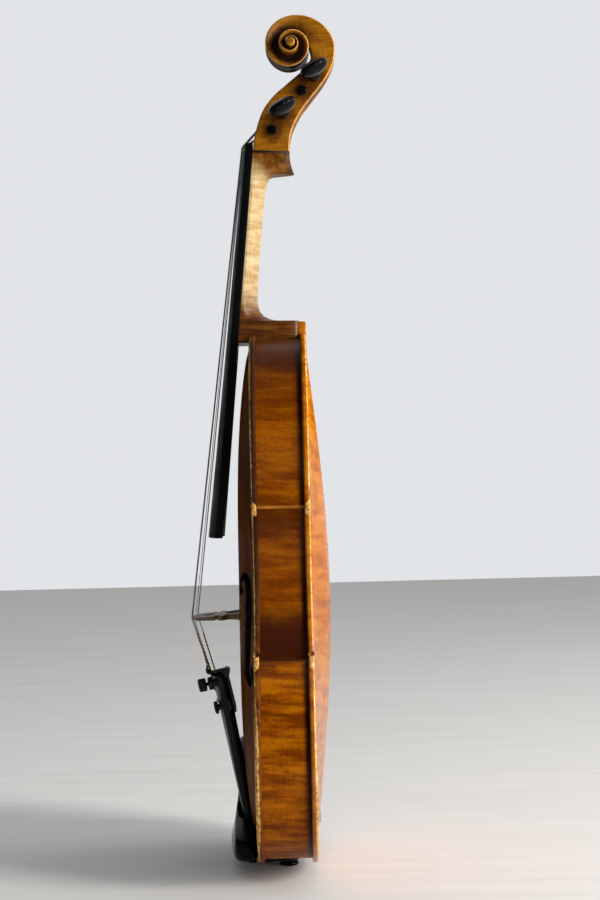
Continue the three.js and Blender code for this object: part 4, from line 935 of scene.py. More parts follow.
def head_station(outer, inner, w_out, w_in, depth, hollow_depth, wall=4.6, flute=1.3, shade=0.0, under=0.0):
    """One closed section of the head, from its outer line to its inner line, with the painted shade of its
    hollows and the lighter values of its chamfers for each point.
    """
    outer, inner = np.array(outer), np.array(inner)
    span = np.linalg.norm(inner - outer)
    inwards = (inner - outer) / max(span, 1e-6)
    chamfer = min(0.9, span * 0.2)
    points, hollow, edge = [], [], []

    def add(e, y, dark=0.0, lit=0.0):
        at = outer + inwards * e
        points.append((at[0], y, at[1]))
        hollow.append(dark)
        edge.append(lit)

    half = []
    for share in (0.0, 0.16, 0.34, 0.52, 0.7, 0.84):
        dip = flute * math.sin(math.pi * share / 0.92) ** 1.2 if share else 0.25
        # the third value is painted shade for the flutes; under adds painted shade to the scroll's underside
        half.append((min(dip, span * 0.25), (w_out - 0.8) * share / 0.92, 0.25 * dip + under, 0))
    half += [(0.0, w_out - 0.95, 0, 0.7), (0.12, w_out - 0.55, 0, 1.0), (0.5, w_out - 0.16, 0, 1.0),
             (chamfer, w_out, 0, 0.9), (chamfer + min(0.5, span * 0.1), w_out - 0.1 * (depth > 0), 0, 0.3)]
    start, stop = chamfer + min(0.6, span * 0.12), span - (0.9 if depth == 0 else 0.0)
    for share in np.linspace(0.04, 1.0, 12):
        e = start + (stop - start) * share
        sink = depth * (1 - (1 - share) ** 2.4) if depth else 0.0
        line = w_out + (w_in - w_out) * (e / max(span, 1e-6)) if depth == 0 else w_out
        half.append((e, line - sink, shade * share ** 0.8, 0.0))
    if depth == 0:
        half += [(span - 0.35, w_in - 0.15, 0, 0.8), (span, w_in - 0.6, 0, 0.7)]
        inside = max(0.5, w_in - wall)
    else:
        half += [(span, w_out - depth, shade, 0), (span, w_out - depth - 0.3, shade, 0)]
        inside = max(0.5, w_out - depth - 1)
    down = span - hollow_depth
    # lit is painted shade on the pegbox's inner walls, stored with the hollows' shade
    lit = 0.9 if hollow_depth > 1 else 0.0
    half += [(span, inside, 0, 0), (span - hollow_depth * 0.15, inside, lit * 0.5, 0),
             (span - hollow_depth * 0.9, inside, lit, 0),
             (down, inside - 0.8 if inside > 1.5 else inside, lit, 0), (down, inside * 0.4, lit, 0)]
    for e, y, dark, light in half:
        add(e, y, dark, light)
    add(down, 0.0, lit, 0)
    for e, y, dark, light in half[:0:-1]:
        add(e, -y, dark, light)
    return points, hollow, edge


def head():
    rings, hollow, edge = [], [], []

    def station(*args, **kw):
        points, dark, lit = head_station(*args, **kw)
        rings.append(points)
        hollow.extend(dark)
        edge.extend(lit)

    back = resample(curve_through(BACK_LINE, 12), 1.0)
    front = resample(curve_through(FRONT_LINE, 12), 1.0)
    share = np.linspace(0, 1, 96)
    along_back = share ** 1.06
    along_front = share ** 0.94
    for k in range(len(share)):
        o = np.array([np.interp(along_back[k], np.linspace(0, 1, len(back)), back[:, i]) for i in (0, 1)])
        i_ = np.array([np.interp(along_front[k], np.linspace(0, 1, len(front)), front[:, i]) for i in (0, 1)])
        span = np.linalg.norm(i_ - o)
        opened = np.clip((i_[1] - 488.0) / 1.6, 0, 1) * np.clip((536.4 - i_[1]) / 1.6, 0, 1)
        station(o, i_, cheek(o[1]), cheek(i_[1]), 0.0, opened * max(0.0, span - 4.6 - 0.4))
    for quarters in np.arange(1, 11 * QUARTER_STEPS - 8) / QUARTER_STEPS:
        turn = quarters * math.pi / 2
        direction = np.array([math.cos(turn), math.sin(turn)])
        r_out = at_quarter(SPIRAL, quarters)
        r_in = at_quarter(SPIRAL, quarters + 4) if quarters < 7 else 2.8
        if r_out - r_in < 0.7:
            break
        width = at_quarter(RIDGE, quarters)
        depth = max(0.02, at_quarter(DEPTH, quarters))
        shade = min(1.0, 0.25 + quarters * 0.28)
        flute = 1.2 if quarters < 3.6 else max(0.0, 1.2 - (quarters - 3.6) * 3)
        # under puts painted shade on the underside of the scroll's first turn
        station(EYE + direction * r_out, EYE + direction * (r_in - 0.15), width, width, depth, 0.0,
                flute=flute, shade=shade, under=0.9 * math.exp(-((quarters - 3.0) / 0.95) ** 4))
    verts, faces = loft(rings)
    hollow += [0, 0]
    edge += [0, 0]
    obj = make("head", verts, faces, HEAD_WOOD, "maple", ("head",), grain=np.array(verts)[:, [2, 1, 0]],
               extra={"hollow": hollow, "edge": edge}, angle=50)
    profile = [(0.0, -20.0), (1.5, -19.95), (2.3, -19.7), (2.75, -19.1), (3.0, -18), (3.0, 18), (2.75, 19.1),
               (2.3, 19.7), (1.5, 19.95), (0.0, 20.0)]
    eye = [[(EYE[0] + x, h, EYE[1] + y) for x, y, h in ring] for ring in lathe(profile, 32)]
    verts, faces = loft(eye)
    rim = [1.0 if 2.2 < math.hypot(x - EYE[0], z - EYE[1]) < 2.9 else 0.0 for x, y, z in verts]
    make("scroll_eye", verts, faces, HEAD_WOOD, "maple", grain=np.array(verts)[:, [2, 1, 0]],
         extra={"hollow": [0.1] * len(verts), "edge": rim}, angle=50)
    return obj


head()

# dark glue line where the head is grafted to the neck
ring = [(glue_x(480) + 0.1, 12.8), (glue_x(480) + 0.1, -12.8), (11.4, -12.75), (12.0, -12.1), (12.0, 12.1),
        (11.4, 12.75)]
verts, faces = loft([[(x, y, z + 0.5 * (12 - x) / 10 - 0.6) for x, y in ring] for z in (478.8, 480.4)])
make("graft_line", verts, faces, CORNER_LOOK, "maple")


# ------------------------------------------------------------------ fingerboard, nut, saddle
def board_ring(z, x_front, edge=4.8, grow=0.0, hollow=0.0, inset=0.0):
    half = board_half(z) - inset
    crown = 42.0
    base = x_front
    flat = math.sqrt(crown**2 - half**2)
    ring = [(base, half - 0.3, z), (base - 0.3, half, z), (base - edge + 0.5 - grow, half, z)]
    for y in np.linspace(half - 0.25, -half + 0.25, 33):
        ring.append((base - edge - grow - (math.sqrt(crown**2 - y * y) - flat), y, z))
    ring += [(base - edge + 0.5 - grow, -half, z), (base - 0.3, -half, z), (base, -half + 0.3, z)]
    for y in np.linspace(-half + 3, half - 3, 9):
        ring.append((base - hollow * math.cos(math.pi * y / (2 * (half - 2.9))) ** 0.6, y, z))
    return ring


end = NUT_Z - BOARD_LENGTH
rings = [board_ring(end + dz, glue_x(end + dz) - 0.3, inset=inset, grow=-inset, hollow=h) for dz, inset, h in
         ((0, 0.7, 2.2), (0.25, 0.3, 2.2), (0.8, 0, 2.2), (60, 0, 2.2), (126, 0, 1.2), (134, 0, 0))]
rings += [board_ring(z, glue_x(z) - 0.3) for z in np.linspace(end + 160, NUT_Z - 0.05, 9)]
verts, faces = loft(rings)
make("fingerboard", verts, faces, EBONY_BOARD, "ebony", ("fingerboard",), grain=np.array(verts)[:, [2, 1, 0]],
     angle=40)

rings = []
for dz, grow in ((0, 0.35), (0.2, 0.62), (0.7, 0.8), (1.1, 0.7), (1.6, 0.1), (2.2, -1.9), (2.9, -3.9),
                 (3.5, -4.5), (4, -4.75)):
    ring = board_ring(NUT_Z + dz, glue_x(NUT_Z) - 0.3, grow=grow)
    rings.append([(min(x, glue_x(NUT_Z) - 0.3), y, z) for x, y, z in ring])
verts, faces = loft(rings)
make("nut", verts, faces, EBONY, "ebony", ("nut",), grain=np.array(verts)[:, [1, 2, 0]], angle=50)

plane = float(belly_plane(0))
rings = []
for y in np.linspace(-17, 17, 25):
    tall = 6.2 * (1 - 0.55 * max(0, (abs(y) - 9) / 8) ** 1.5)
    ring = [(plane + 3.9, y, 5.9), (plane - tall + 1.4, y, 5.9), (plane - tall + 0.4, y, 5.5),
            (plane - tall, y, 4.6), (plane - tall, y, 1.4), (plane - tall + 0.5, y, 0.4),
            (plane - tall + 1.5, y, 0), (plane + 3.9, y, 0)]
    rings.append(ring)
verts, faces = loft(rings)
make("saddle", verts, faces, EBONY, "ebony", ("saddle",), grain=np.array(verts)[:, [1, 2, 0]], angle=40)


# ------------------------------------------------------------------ pegs
PEGS = {"g": (0.6, 494.7, 1, 3.4), "e": (7.7, 505.2, -1, -3.4),
        "d": (21.4, 521.4, 1, 2.4), "a": (29.4, 530.9, -1, -2.4)}
PEG_TURN, D_PEG_TURN = math.radians(28), math.radians(51)


def peg(name, x, z, side):
    reach = cheek(z)
    start = reach + 11.0
    profile = [(0, -reach - 1.5), (2.6, -reach - 1.5), (3.2, -reach - 1.2), (3.35, -reach - 0.8),
               (3.8, start), (4.3, start + 0.05), (4.6, start + 0.5), (4.6, start + 1.0),
               (4.1, start + 1.3), (4.0, start + 1.6), (4.9, start + 1.9), (5.1, start + 2.5),
               (4.9, start + 3.1), (4.1, start + 3.4), (3.5, start + 4.0), (3.2, start + 5.2),
               (3.1, start + 7.5), (0, start + 7.6)]
    rings = lathe(profile, 36)
    verts, faces = loft(rings)
    low, high = start + 4.4, start + 25.4
    thumb = []
    for t in np.linspace(0, 1, 27):
        h = low + (high - low) * (0.5 - 0.5 * math.cos(math.pi * t))
        u = (h - low) / (high - low)
        wide = max(2.9, 9.9 * (1 - (1 - min(1, u / 0.6)) ** 1.9) ** 0.8)
        if u > 0.6:
            wide = 9.9 * math.sqrt(max(0.0, 1 - ((u - 0.6) / 0.4) ** 2))
        thick = 3.1 + 1.7 * math.sin(math.pi * u)
        if u > 0.6:
            thick *= math.sqrt(max(0.0, 1 - ((u - 0.6) / 0.4) ** 2 * 0.999))
        ring = []
        for a in np.linspace(0, 2 * math.pi, 40, endpoint=False):
            c, s = math.cos(a), math.sin(a)
            ring.append((wide * math.copysign(abs(c) ** 0.92, c),
                         thick * math.copysign(abs(s) ** 0.9, s), h))
        thumb.append(ring)
    more, extra = loft(thumb)
    faces += [tuple(i + len(verts) for i in face) for face in extra]
    verts += more
    pip = lathe([(0, high - 0.6), (1.5, high - 0.6), (1.7, high - 0.1), (1.3, high + 0.35),
                 (0, high + 0.5)], 20)
    more, extra = loft(pip)
    faces += [tuple(i + len(verts) for i in face) for face in extra]
    verts += more
    turn = D_PEG_TURN if name == "d" else PEG_TURN
    cosine, sine = math.cos(turn), math.sin(turn)
    placed, grain = [], []
    for a, b, h in verts:  # a runs across the thumb piece, b through it, h out along the peg
        placed.append((x + cosine * a - sine * b, side * h, z + sine * a + cosine * b))
        grain.append((h, a, b))
    make(f"peg_{name}", placed, faces, EBONY, "ebony", (f"peg_{name}",), body=f"{name}_peg", grain=grain,
         angle=50)


for name, (x, z, side, wind) in PEGS.items():
    peg(name, x, z, side)


# ------------------------------------------------------------------ strings
RADIUS = {"g": 0.42, "d": 0.42, "a": 0.36, "e": 0.24}
SHARE = {"g": 1, "d": 1 / 3, "a": -1 / 3, "e": -1}
NUT_SPREAD, BRIDGE_SPREAD, TAIL_SPREAD = 8.2, 16.8, 14.5
WIND_RADIUS = 3.9
BRIDGE_Z, BRIDGE_HEIGHT, BRIDGE_FOOT, BRIDGE_TOP, BRIDGE_CROWN = 165.7, 33.0, 4.4, 1.5, 42.0
TAIL_X, TAIL_Z, TAIL_ANGLE, TAIL_LENGTH = -49.8, 126.06, -0.197, 106.0


def tail_point(x, y, z):
    c, s = math.cos(TAIL_ANGLE), math.sin(TAIL_ANGLE)
    return (TAIL_X + c * x + s * z, y, TAIL_Z - s * x + c * z)


def tail_drop(y):
    return 0.0105 * y * y


def board_top(side, z):
    half = board_half(z)
    return glue_x(z) - 0.3 - 4.8 - (math.sqrt(42**2 - side**2) - math.sqrt(42**2 - half**2))


def bridge_top(side):
    crown = float(belly_plane(BRIDGE_Z)) - ARCH
    return crown - BRIDGE_HEIGHT + BRIDGE_CROWN - math.sqrt(BRIDGE_CROWN**2 - side**2)


def smooth_corner(path, sharp=1.2, steps=5):
    """Rounds each inner corner of a path over a short reach."""
    path = [np.array(p, float) for p in path]
    out = [path[0]]
    for before, at, after in zip(path, path[1:], path[2:]):
        a = at + (before - at) / np.linalg.norm(before - at) * min(sharp, np.linalg.norm(before - at) / 2)
        b = at + (after - at) / np.linalg.norm(after - at) * min(sharp, np.linalg.norm(after - at) / 2)
        for t in np.linspace(0, 1, steps):
            out.append((1 - t) ** 2 * a + 2 * t * (1 - t) * at + t * t * b)
    out.append(path[-1])
    return np.array(out)


def string(name):
    share, r = SHARE[name], RADIUS[name]
    x, z, peg_side, wind = PEGS[name]
    nut = np.array([board_top(share * NUT_SPREAD, NUT_Z) - 0.85 - r, share * NUT_SPREAD, NUT_Z + 0.8])
    lift = WIND_RADIUS + 0.25 + 3 * r
    run = np.array([x - nut[0], z - nut[2]])
    run /= np.linalg.norm(run)
    start = (x - lift * run[1], wind, z + lift * run[0])
    side = share * BRIDGE_SPREAD
    crest = (bridge_top(side) - r * 0.6, side, BRIDGE_Z - (BRIDGE_FOOT - BRIDGE_TOP) / 2)
    if name == "e":
        rest = [tail_point(-1.3, -14, 6.0), tail_point(-1.3, -14, 4.4)]
    else:
        y = share * TAIL_SPREAD
        rest = [tail_point(tail_drop(y) - 0.15 - r, y, -0.6), tail_point(tail_drop(y) - 0.3 - r, y, -11.6),
                tail_point(tail_drop(y) + 3, y, -13.2)]
    path = smooth_corner([start, nut, crest, *rest], 1.4)
    path = resample(path, 1.2)
    along = np.concatenate([[0], np.cumsum(np.linalg.norm(np.diff(path, axis=0), axis=1))])
    bridge_at = along[np.argmin(np.abs(path[:, 2] - crest[2]))]
    nut_at = along[np.argmin(np.abs(path[:, 2] - nut[2]))]
    silk = (along > bridge_at + (12 if name != "e" else 900)).astype(float)
    silk[along < nut_at + 2] = 0.75 if name != "e" else 0.0
    radii = r * (1 + 0.18 * silk)
    sides = 10
    verts, faces = loft(tube(path, radii, sides))
    turn = np.tile(np.arange(sides) / sides * 2.6, len(path))
    extra = {"along": np.concatenate([np.repeat(along, sides), [0, along[-1]]]),
             "around": np.concatenate([turn, [0, 0]]),
             "silk": np.concatenate([np.repeat(silk, sides), [silk[0], silk[-1]]])}
    make(f"string_{name}", verts, faces, STRING_STEEL if name == "e" else STRING_METAL, "string",
         (f"string_{name}",), extra=extra)
    # the turns on the peg
    turns, sides = 2.6, 10
    angle0 = math.atan2(start[2] - z, start[0] - x)
    spin = -1
    t = np.linspace(0, 1, int(turns * 36))
    radius = WIND_RADIUS + r
    coil = np.stack([x + radius * np.cos(angle0 + spin * t * turns * 2 * np.pi),
                     wind + (0.5 - t) * 2 * r * turns * np.sign(-wind),
                     z + radius * np.sin(angle0 + spin * t * turns * 2 * np.pi)], axis=1)
    along = t * turns * 2 * np.pi * radius
    verts, faces = loft(tube(coil, r, sides))
    extra = {"along": np.concatenate([np.repeat(along, sides), [0, along[-1]]]),
             "around": np.concatenate([np.tile(np.arange(sides) / sides * 2.6, len(coil)), [0, 0]]),
             "silk": np.full(len(verts), 0.0 if name == "e" else 1.0)}
    make(f"string_{name}_windings", verts, faces, STRING_METAL, "string", (f"string_{name}_windings",),
         body=f"{name}_peg", extra=extra)


for name in PEGS:
    string(name)


# ------------------------------------------------------------------ bridge
BRIDGE_HALF = [
    (0, 10.4), (4.0, 9.4), (7.4, 7.2), (9.3, 4.4), (9.9, 1.6), (9.6, "foot"), (21.0, "foot"), (21.4, 0.0),
    (19.8, 1.4), (16.6, 2.9), (14.9, 5.4), (15.2, 8.0), (17.8, 9.6), (20.6, 10.4), (21.9, 12.0), (21.4, 14.0),
    (19.4, 13.2), (17.2, 12.0), (15.2, 12.8), (14.3, 15.0), (15.2, 17.2), (17.2, 17.7), (19.0, 16.6),
    (20.6, 16.6), (20.7, 19.6), (19.8, 24.0), (18.8, 28.2),
]


def bridge():
    crown = float(belly_plane(BRIDGE_Z)) - ARCH

    def under(side):
        return crown - belly_x(side, BRIDGE_Z) + 0.02

    right = [(y, under(y) if h == "foot" else h) for y, h in BRIDGE_HALF]
    smooth = [tuple(p) for p in curve_through(right, 5)]
    smooth = [(y, max(h, under(y)) if h < 1.0 else h) for y, h in smooth]
    top = [(y, BRIDGE_HEIGHT - BRIDGE_CROWN + math.sqrt(BRIDGE_CROWN**2 - y * y))
           for y in np.linspace(18.2, 0, 14)]
    half = smooth + top
    outline = half + [(-y, h) for y, h in half[-2:0:-1]]
    turns = np.linspace(0, 2 * np.pi, 72, endpoint=False)
    heart = [(5.6 * math.sin(t) ** 3,
              21.2 - (4.4 * math.cos(t) - 1.7 * math.cos(2 * t) - 0.7 * math.cos(3 * t)))
             for t in turns]

    def solid(points, grow=0.0):
        rings = []
        for k in (0, 1):
            ring = []
            for y, h in points:
                thick = BRIDGE_FOOT + (BRIDGE_TOP - BRIDGE_FOOT) * min(1, max(0, h / BRIDGE_HEIGHT)) ** 0.9
                base = BRIDGE_Z - BRIDGE_FOOT / 2
                ring.append((crown - h, y, base + (thick + grow if k else -grow)))
            rings.append(ring)
        return rings

    def filled(rings):
        count = len(rings[0])
        verts = rings[0] + rings[1]
        faces = [(j, (j + 1) % count, (j + 1) % count + count, j + count) for j in range(count)]
        return verts, faces + [tuple(range(count))[::-1], tuple(range(count, 2 * count))]

    verts, faces = filled(solid(outline))
    obj = make("bridge", verts, faces, BRIDGE_WOOD, "bridgewood", ("bridge",),
               grain=np.array(verts)[:, [1, 2, 0]], angle=30)
    hole = filled(solid(heart, 2.0))
    boolean(obj, scratch("heart", *hole), angle=30)
    bevel(obj, 0.35, 2, 40)


bridge()


# ------------------------------------------------------------------ tailpiece and fine tuner
def to_tail(rings):
    return [[tail_point(*p) for p in ring] for ring in rings]


def tail_half(z):
    return 20.5 + (10.5 - 20.5) * min(1, (-z / TAIL_LENGTH)) ** 0.8 if z < 0 else 20.5


def tail_depth(z):
    """How far the side walls reach below the crown."""
    return np.interp(-z, (0, 4, 25, 62, 80, 106), (8.6, 9.0, 8.9, 8.1, 6.6, 5.6))


rings = []
for z, inset, sink in ((0.0, 1.6, 1.6), (-0.3, 0.7, 0.7), (-1.2, 0.1, 0.15), (-3, 0, 0), (-8, 0, 0),
                       (-16, 0, 0), (-17.2, 0, 0), (-17.8, 0, -0.7), (-18.8, 0, -0.9), (-19.8, 0, -0.6),
                       (-20.4, 0, 0.1), (-30, 0, 0.2), (-45, 0, 0.2), (-60, 0, 0.2), (-75, 0, 0.2),
                       (-88, 0, 0.2), (-98, 0.1, 0.3), (-102, 0.5, 0.6), (-104.6, 1.6, 1.2),
                       (-105.7, 3.2, 2.0), (-106, 4.4, 2.6)):
    half = tail_half(z) - inset
    ring = []
    for y in np.linspace(half, -half, 31):
        fade = 1 - (abs(y) / half) ** 4
        ring.append((tail_drop(y) + (sink if sink > 0 else sink * fade), y, z))
    under = tail_drop(half * 0.8) + 4.2 - sink * 0.6
    deep = max(under, tail_depth(z) - sink * 0.8)
    wall = [(-half, 0.7 * deep), (-half + 0.1, deep - 0.4), (-half + 0.5, deep), (-half + 1.2, deep),
            (-half + 1.6, deep - 0.4)]
    floor_ = [(y, tail_drop(y * 0.8) + 4.4 - sink * 0.6) for y in np.linspace(-half + 1.9, half - 1.9, 21)]
    for y, x in wall + floor_ + [(-y, x) for y, x in wall[::-1]]:
        ring.append((max(x, tail_drop(y) + 0.5 + max(sink, 0)), y, z))
    rings.append(ring)
verts, faces = loft(to_tail(rings))
tail = make("tailpiece", verts, faces, BLACK_FITTING, "blackfitting", ("tailpiece",),
            grain=np.array(verts)[:, [2, 1, 0]], angle=45)
for name in "gda":
    y = SHARE[name] * TAIL_SPREAD
    turns = np.linspace(0, 2 * np.pi, 28, endpoint=False)
    eye = [(y + 2.1 * math.cos(t), -13.6 + 2.1 * math.sin(t)) for t in turns]
    slot_ = [(y - 0.6, -12.5), (y + 0.6, -12.5), (y + 0.6, -6.5), (y - 0.6, -6.5)]
    for outline in (eye, slot_):
        verts, faces = loft(to_tail(prism(outline, -4, 14)))
        boolean(tail, scratch("hole", verts, faces), angle=45)

TUNER_Y, SCREW_Z, STUB_Z = -14.0, -5.2, -22.0
TOP = tail_drop(TUNER_Y)
UNDER = TOP + 4.6
PIVOT_X, PIVOT_Z = UNDER + 4.6, 1.4


def rod(profile, y, z, steps=36, knurl=0.0, teeth=0):
    """A turned piece along the tailpiece's own X, from (radius, x) points."""
    rings = []
    for r, x in profile:
        ring = []
        for k in range(steps):
            t = 2 * math.pi * k / steps
            cut = 1 - knurl * (0.5 + 0.5 * math.cos(t * teeth)) if r > 3.4 else 1
            ring.append((x, y + r * cut * math.cos(t), z + r * cut * math.sin(t)))
        rings.append(ring)
    return loft(to_tail(rings))


def box_rings(x0, x1, y0, y1, z0, z1):
    return loft(to_tail([[(x0, y0, z), (x1, y0, z), (x1, y1, z), (x0, y1, z)] for z in (z0, z1)]))


def merged(parts):
    verts, faces = [], []
    for v, f in parts:
        faces += [tuple(i + len(verts) for i in face) for face in f]
        verts += v
    return verts, faces


def ear(y):
    """A rounded lug that holds the lever's pin."""
    outline = [(UNDER + 0.5, -3.2), (UNDER + 5.6, -2.6), (UNDER + 6.2, -0.8)]
    outline += [(PIVOT_X + 2.2 * math.cos(t), PIVOT_Z + 2.0 * math.sin(t))
                for t in np.linspace(0, math.pi, 9)]
    outline += [(UNDER + 0.5, -0.6)]
    return loft(to_tail([[(x, h, z) for x, z in outline] for h in (y, y + 1.2)]))


def tuner():
    y = TUNER_Y
    seat = tail_drop(y - 4.3) - 3.4
    bracket = [
        box_rings(UNDER + 0.5, UNDER + 1.9, y - 4, y + 4, -25.6, 0),
        ear(y - 4), ear(y + 2.8),
        rod([(2.6, TOP - 2.0), (2.6, UNDER + 1.2)], y, SCREW_Z),
        rod([(3.9, TOP - 4.9), (4.4, TOP - 4.6), (4.4, TOP - 2.1), (3.8, TOP - 1.7)], y, SCREW_Z),
        rod([(0, TOP - 3.6), (1.7, TOP - 3.6), (2.1, TOP - 3.2), (2.1, UNDER + 1.2)], y, STUB_Z),
        rod([(3.6, seat - 2.4), (4.2, seat - 2.1), (4.3, seat - 0.4), (3.7, seat)], y, STUB_Z, 96, 0.07, 24),
    ]
    verts, faces = merged(bracket)
    make("tuner_bracket", verts, faces, BLACK_METAL, "blackmetal", ("tuner_bracket",), angle=30)
    pin = loft([[tail_point(PIVOT_X + 0.8 * math.cos(t), y + h, PIVOT_Z + 0.8 * math.sin(t))
                 for t in np.linspace(0, 2 * np.pi, 20, endpoint=False)] for h in (-4.6, 4.6)])
    make("tuner_pin", *pin, BLACK_METAL, "blackmetal", angle=30)
    groove = [(1.4, TOP - 9.8)]
    for k in range(22):
        x = TOP - 9.2 + k * 0.72
        groove += [(1.4, x), (1.15, x + 0.36)]
    groove = ([(0, TOP - 9.8)] + [p for p in groove if p[1] < UNDER + 3.0]
              + [(1.2, UNDER + 3.1), (0, UNDER + 3.4)])
    make("tuner_screw", *rod(groove, y, SCREW_Z, 20), BLACK_METAL, "blackmetal", ("tuner_screw",),
         body="tuner_screw", angle=30)
    knob = [(1.45, TOP - 10.0), (1.5, TOP - 11.2), (3.7, TOP - 11.6), (4.3, TOP - 11.2), (4.5, TOP - 10.6),
            (4.5, TOP - 7.2), (4.3, TOP - 6.6), (3.6, TOP - 6.3), (1.5, TOP - 6.3)]
    make("tuner_knob", *rod(knob, y, SCREW_Z, 120, 0.075, 24), BLACK_METAL, "blackmetal", ("tuner_knob",),
         body="tuner_knob", angle=30)
    arm = [(UNDER + 3.8, -27.6), (UNDER + 5.0, -27.6), (UNDER + 5.6, -23), (UNDER + 5.2, -2),
           (UNDER + 5.8, 0.4), (UNDER + 5.3, 2.4), (UNDER + 3.6, 3.2), (0, 3.1), (-1.2, 3.2), (-1.5, 5.4),
           (-2.5, 5.4), (-2.6, 2.4), (-1.6, 1.4), (UNDER + 2.2, 1.3), (UNDER + 3.0, 0.2), (UNDER + 3.8, -2)]
    lever = loft(to_tail([[(x, yy, z) for x, z in arm] for yy in (y - 2.2, y + 2.2)]))
    obj = make("tuner_lever", *lever, BLACK_METAL, "blackmetal", ("tuner_lever",), body="tuner_lever",
               angle=30)
    cut = scratch("slot", *loft(to_tail([[(-4, yy, 0.3), (1.6, yy, 0.3), (1.6, yy, 7), (-4, yy, 7)]
                                         for yy in (y - 0.6, y + 0.6)])))
    boolean(obj, cut, angle=30)
    bevel(obj, 0.3, 2, 30)
    ball = [[tail_point(-1.3 + 0.85 * math.sin(p) * math.cos(t), y + 0.85 * math.sin(p) * math.sin(t),
                        1.7 + 0.85 * math.cos(p)) for t in np.linspace(0, 2 * np.pi, 16, endpoint=False)]
            for p in np.linspace(0.12, math.pi - 0.12, 9)]
    sleeve = [[tail_point(-1.3 + r * math.cos(t), y + r * math.sin(t), z)
               for t in np.linspace(0, 2 * np.pi, 16, endpoint=False)]
              for r, z in ((0.5, 2.2), (0.55, 2.4), (0.55, 7.0), (0.45, 7.3))]
    make("string_e_sleeve", *loft(sleeve), BLACK_FITTING, "string", body="tuner_lever")
    make("string_e_ball", *loft(ball), NICKEL, "string", body="tuner_lever")


tuner()


# ------------------------------------------------------------------ end button, tailgut
PROTRUSION, GROOVE_R = 8.5, 4.6
low = OVERHANG - PROTRUSION
base = OVERHANG - 0.3
profile = [(0, low), (5.2, low), (5.9, low + 0.25), (6.4, low + 0.8), (6.6, low + 1.5), (6.3, low + 2.3),
           (5.3, low + 2.8), (4.8, low + 3.1), (4.6, low + 3.6), (4.6, low + 5.2), (5.0, low + 5.7),
           (5.7, low + 6.1), (5.8, low + 6.8), (5.8, base), (3.6, base), (3.2, base + 21), (0, base + 21)]
verts, faces = loft(lathe(profile, 48))
make("end_button", verts, faces, EBONY, "ebony", ("end_button",), grain=np.array(verts)[:, [2, 1, 0]],
     angle=40)

r = 0.95
groove = low + 4.3
crest = plane - 6.2
reach = GROOVE_R + r + 0.1
down = [tail_point(2.6, 4, -TAIL_LENGTH + 8), tail_point(2.6, 4, -TAIL_LENGTH - 2), (crest - 1.1, 4.7, 3),
        (crest - 1.1, 5, -0.6), (crest - 0.4, 5.1, groove), (-reach - 2, reach, groove)]
round_ = [(reach * math.cos(t), reach * math.sin(t), groove)
          for t in np.linspace(math.pi / 2, -math.pi / 2, 13)]
path = [*down, *round_, *[(x, -y, z) for x, y, z in down[::-1]]]
verts, faces = loft(tube(curve_through(path, 6), r, 14))
make("tailgut", verts, faces, NYLON, "gut", ("tailgut",), grain=np.array(verts))


# ------------------------------------------------------------------ chin rest
CHIN = [(-42, 11), (-36, 5), (-18, 2), (8, 1.2), (34, 1.8), (58, 7), (82, 24), (93, 46), (88, 66), (66, 73),
        (46, 66), (32, 52), (20, 40), (4, 32), (-16, 27), (-32, 22.5), (-41, 18)]
CHIN_UNDER = -24.6


def chin_under(y, z):
    """The underside, lifted over the lower end of the tailpiece."""
    over_tail = TAIL_X - TAIL_ANGLE * (TAIL_Z - z) - 2.2
    near = 1 - np.clip((abs(y) - 11) / 8, 0, 1) ** 2 * (3 - 2 * np.clip((abs(y) - 11) / 8, 0, 1))
    bridged = CHIN_UNDER + (min(over_tail, -31) - CHIN_UNDER) * near
    close = float(np.clip((-y - 6) / 8, 0, 1))
    gap = 1.2 - 0.9 * close
    return min(bridged + (belly_x(y, z) - gap - bridged) * close, belly_x(y, z) - gap)


def chin_top(y, z):
    ridge = 4.8 * math.exp(-(((z - 10) / 15) ** 2)) * math.exp(-(((y - 12) / 40) ** 2))
    bowl = 4.6 * math.exp(-(((z - 42) / 19) ** 2) - ((y - 56) / 25) ** 2)
    return CHIN_UNDER - 9.8 - 0.02 * z - ridge + bowl


def chin_rest():
    outline = resample(curve_through([*CHIN, CHIN[0]], 14), 2.0)[:-1]
    centre = np.array([34, 26])
    shares = [(0.06, 0), (0.18, 0), (0.3, 0), (0.42, 0), (0.54, 0), (0.66, 0), (0.77, 0), (0.86, 0),
              (0.92, 0.02), (0.96, 0.1), (0.985, 0.24), (1.0, 0.45), (1.0, 0.62), (0.985, 0.82),
              (0.95, 0.95), (0.9, 1), (0.75, 1), (0.55, 1), (0.3, 1), (0.06, 1)]
    rings = []
    for share, down_ in shares:
        ring = []
        for p in outline:
            y, z = centre + (p - centre) * share
            top, under = chin_top(y, z), chin_under(y, z)
            ring.append((top + (under - top) * down_, y, z))
        rings.append(ring)
    verts, faces = loft(rings)
    make("chin_rest_cup", verts, faces, EBONY, "ebony", ("chin_rest_cup",),
         grain=np.array(verts)[:, [1, 2, 0]], angle=55)


chin_rest()


def along_edge(low, high, from_, to, x0, x1, name, material, slot, stands_for=(), body=ROOT, side=1,
               reach=60):
    """A pad or plate that follows the lower edge between two heights."""
    points, inward = BOUTS["lower"]
    pick = (points[:, 1] > low) & (points[:, 1] < high) & (points[:, 0] > reach)
    rings = []
    for p, n in zip(points[pick], inward[pick]):
        a, b = (p + from_ * n) * (side, 1), (p + to * n) * (side, 1)
        rings.append([(x0, *a), (x0, *b), (x1, *b), (x1, *a)])
    verts, faces = loft(rings)
    obj = make(name, verts, faces, material, slot, stands_for, body, angle=30)
    return bevel(obj, 0.3, 2, 30)


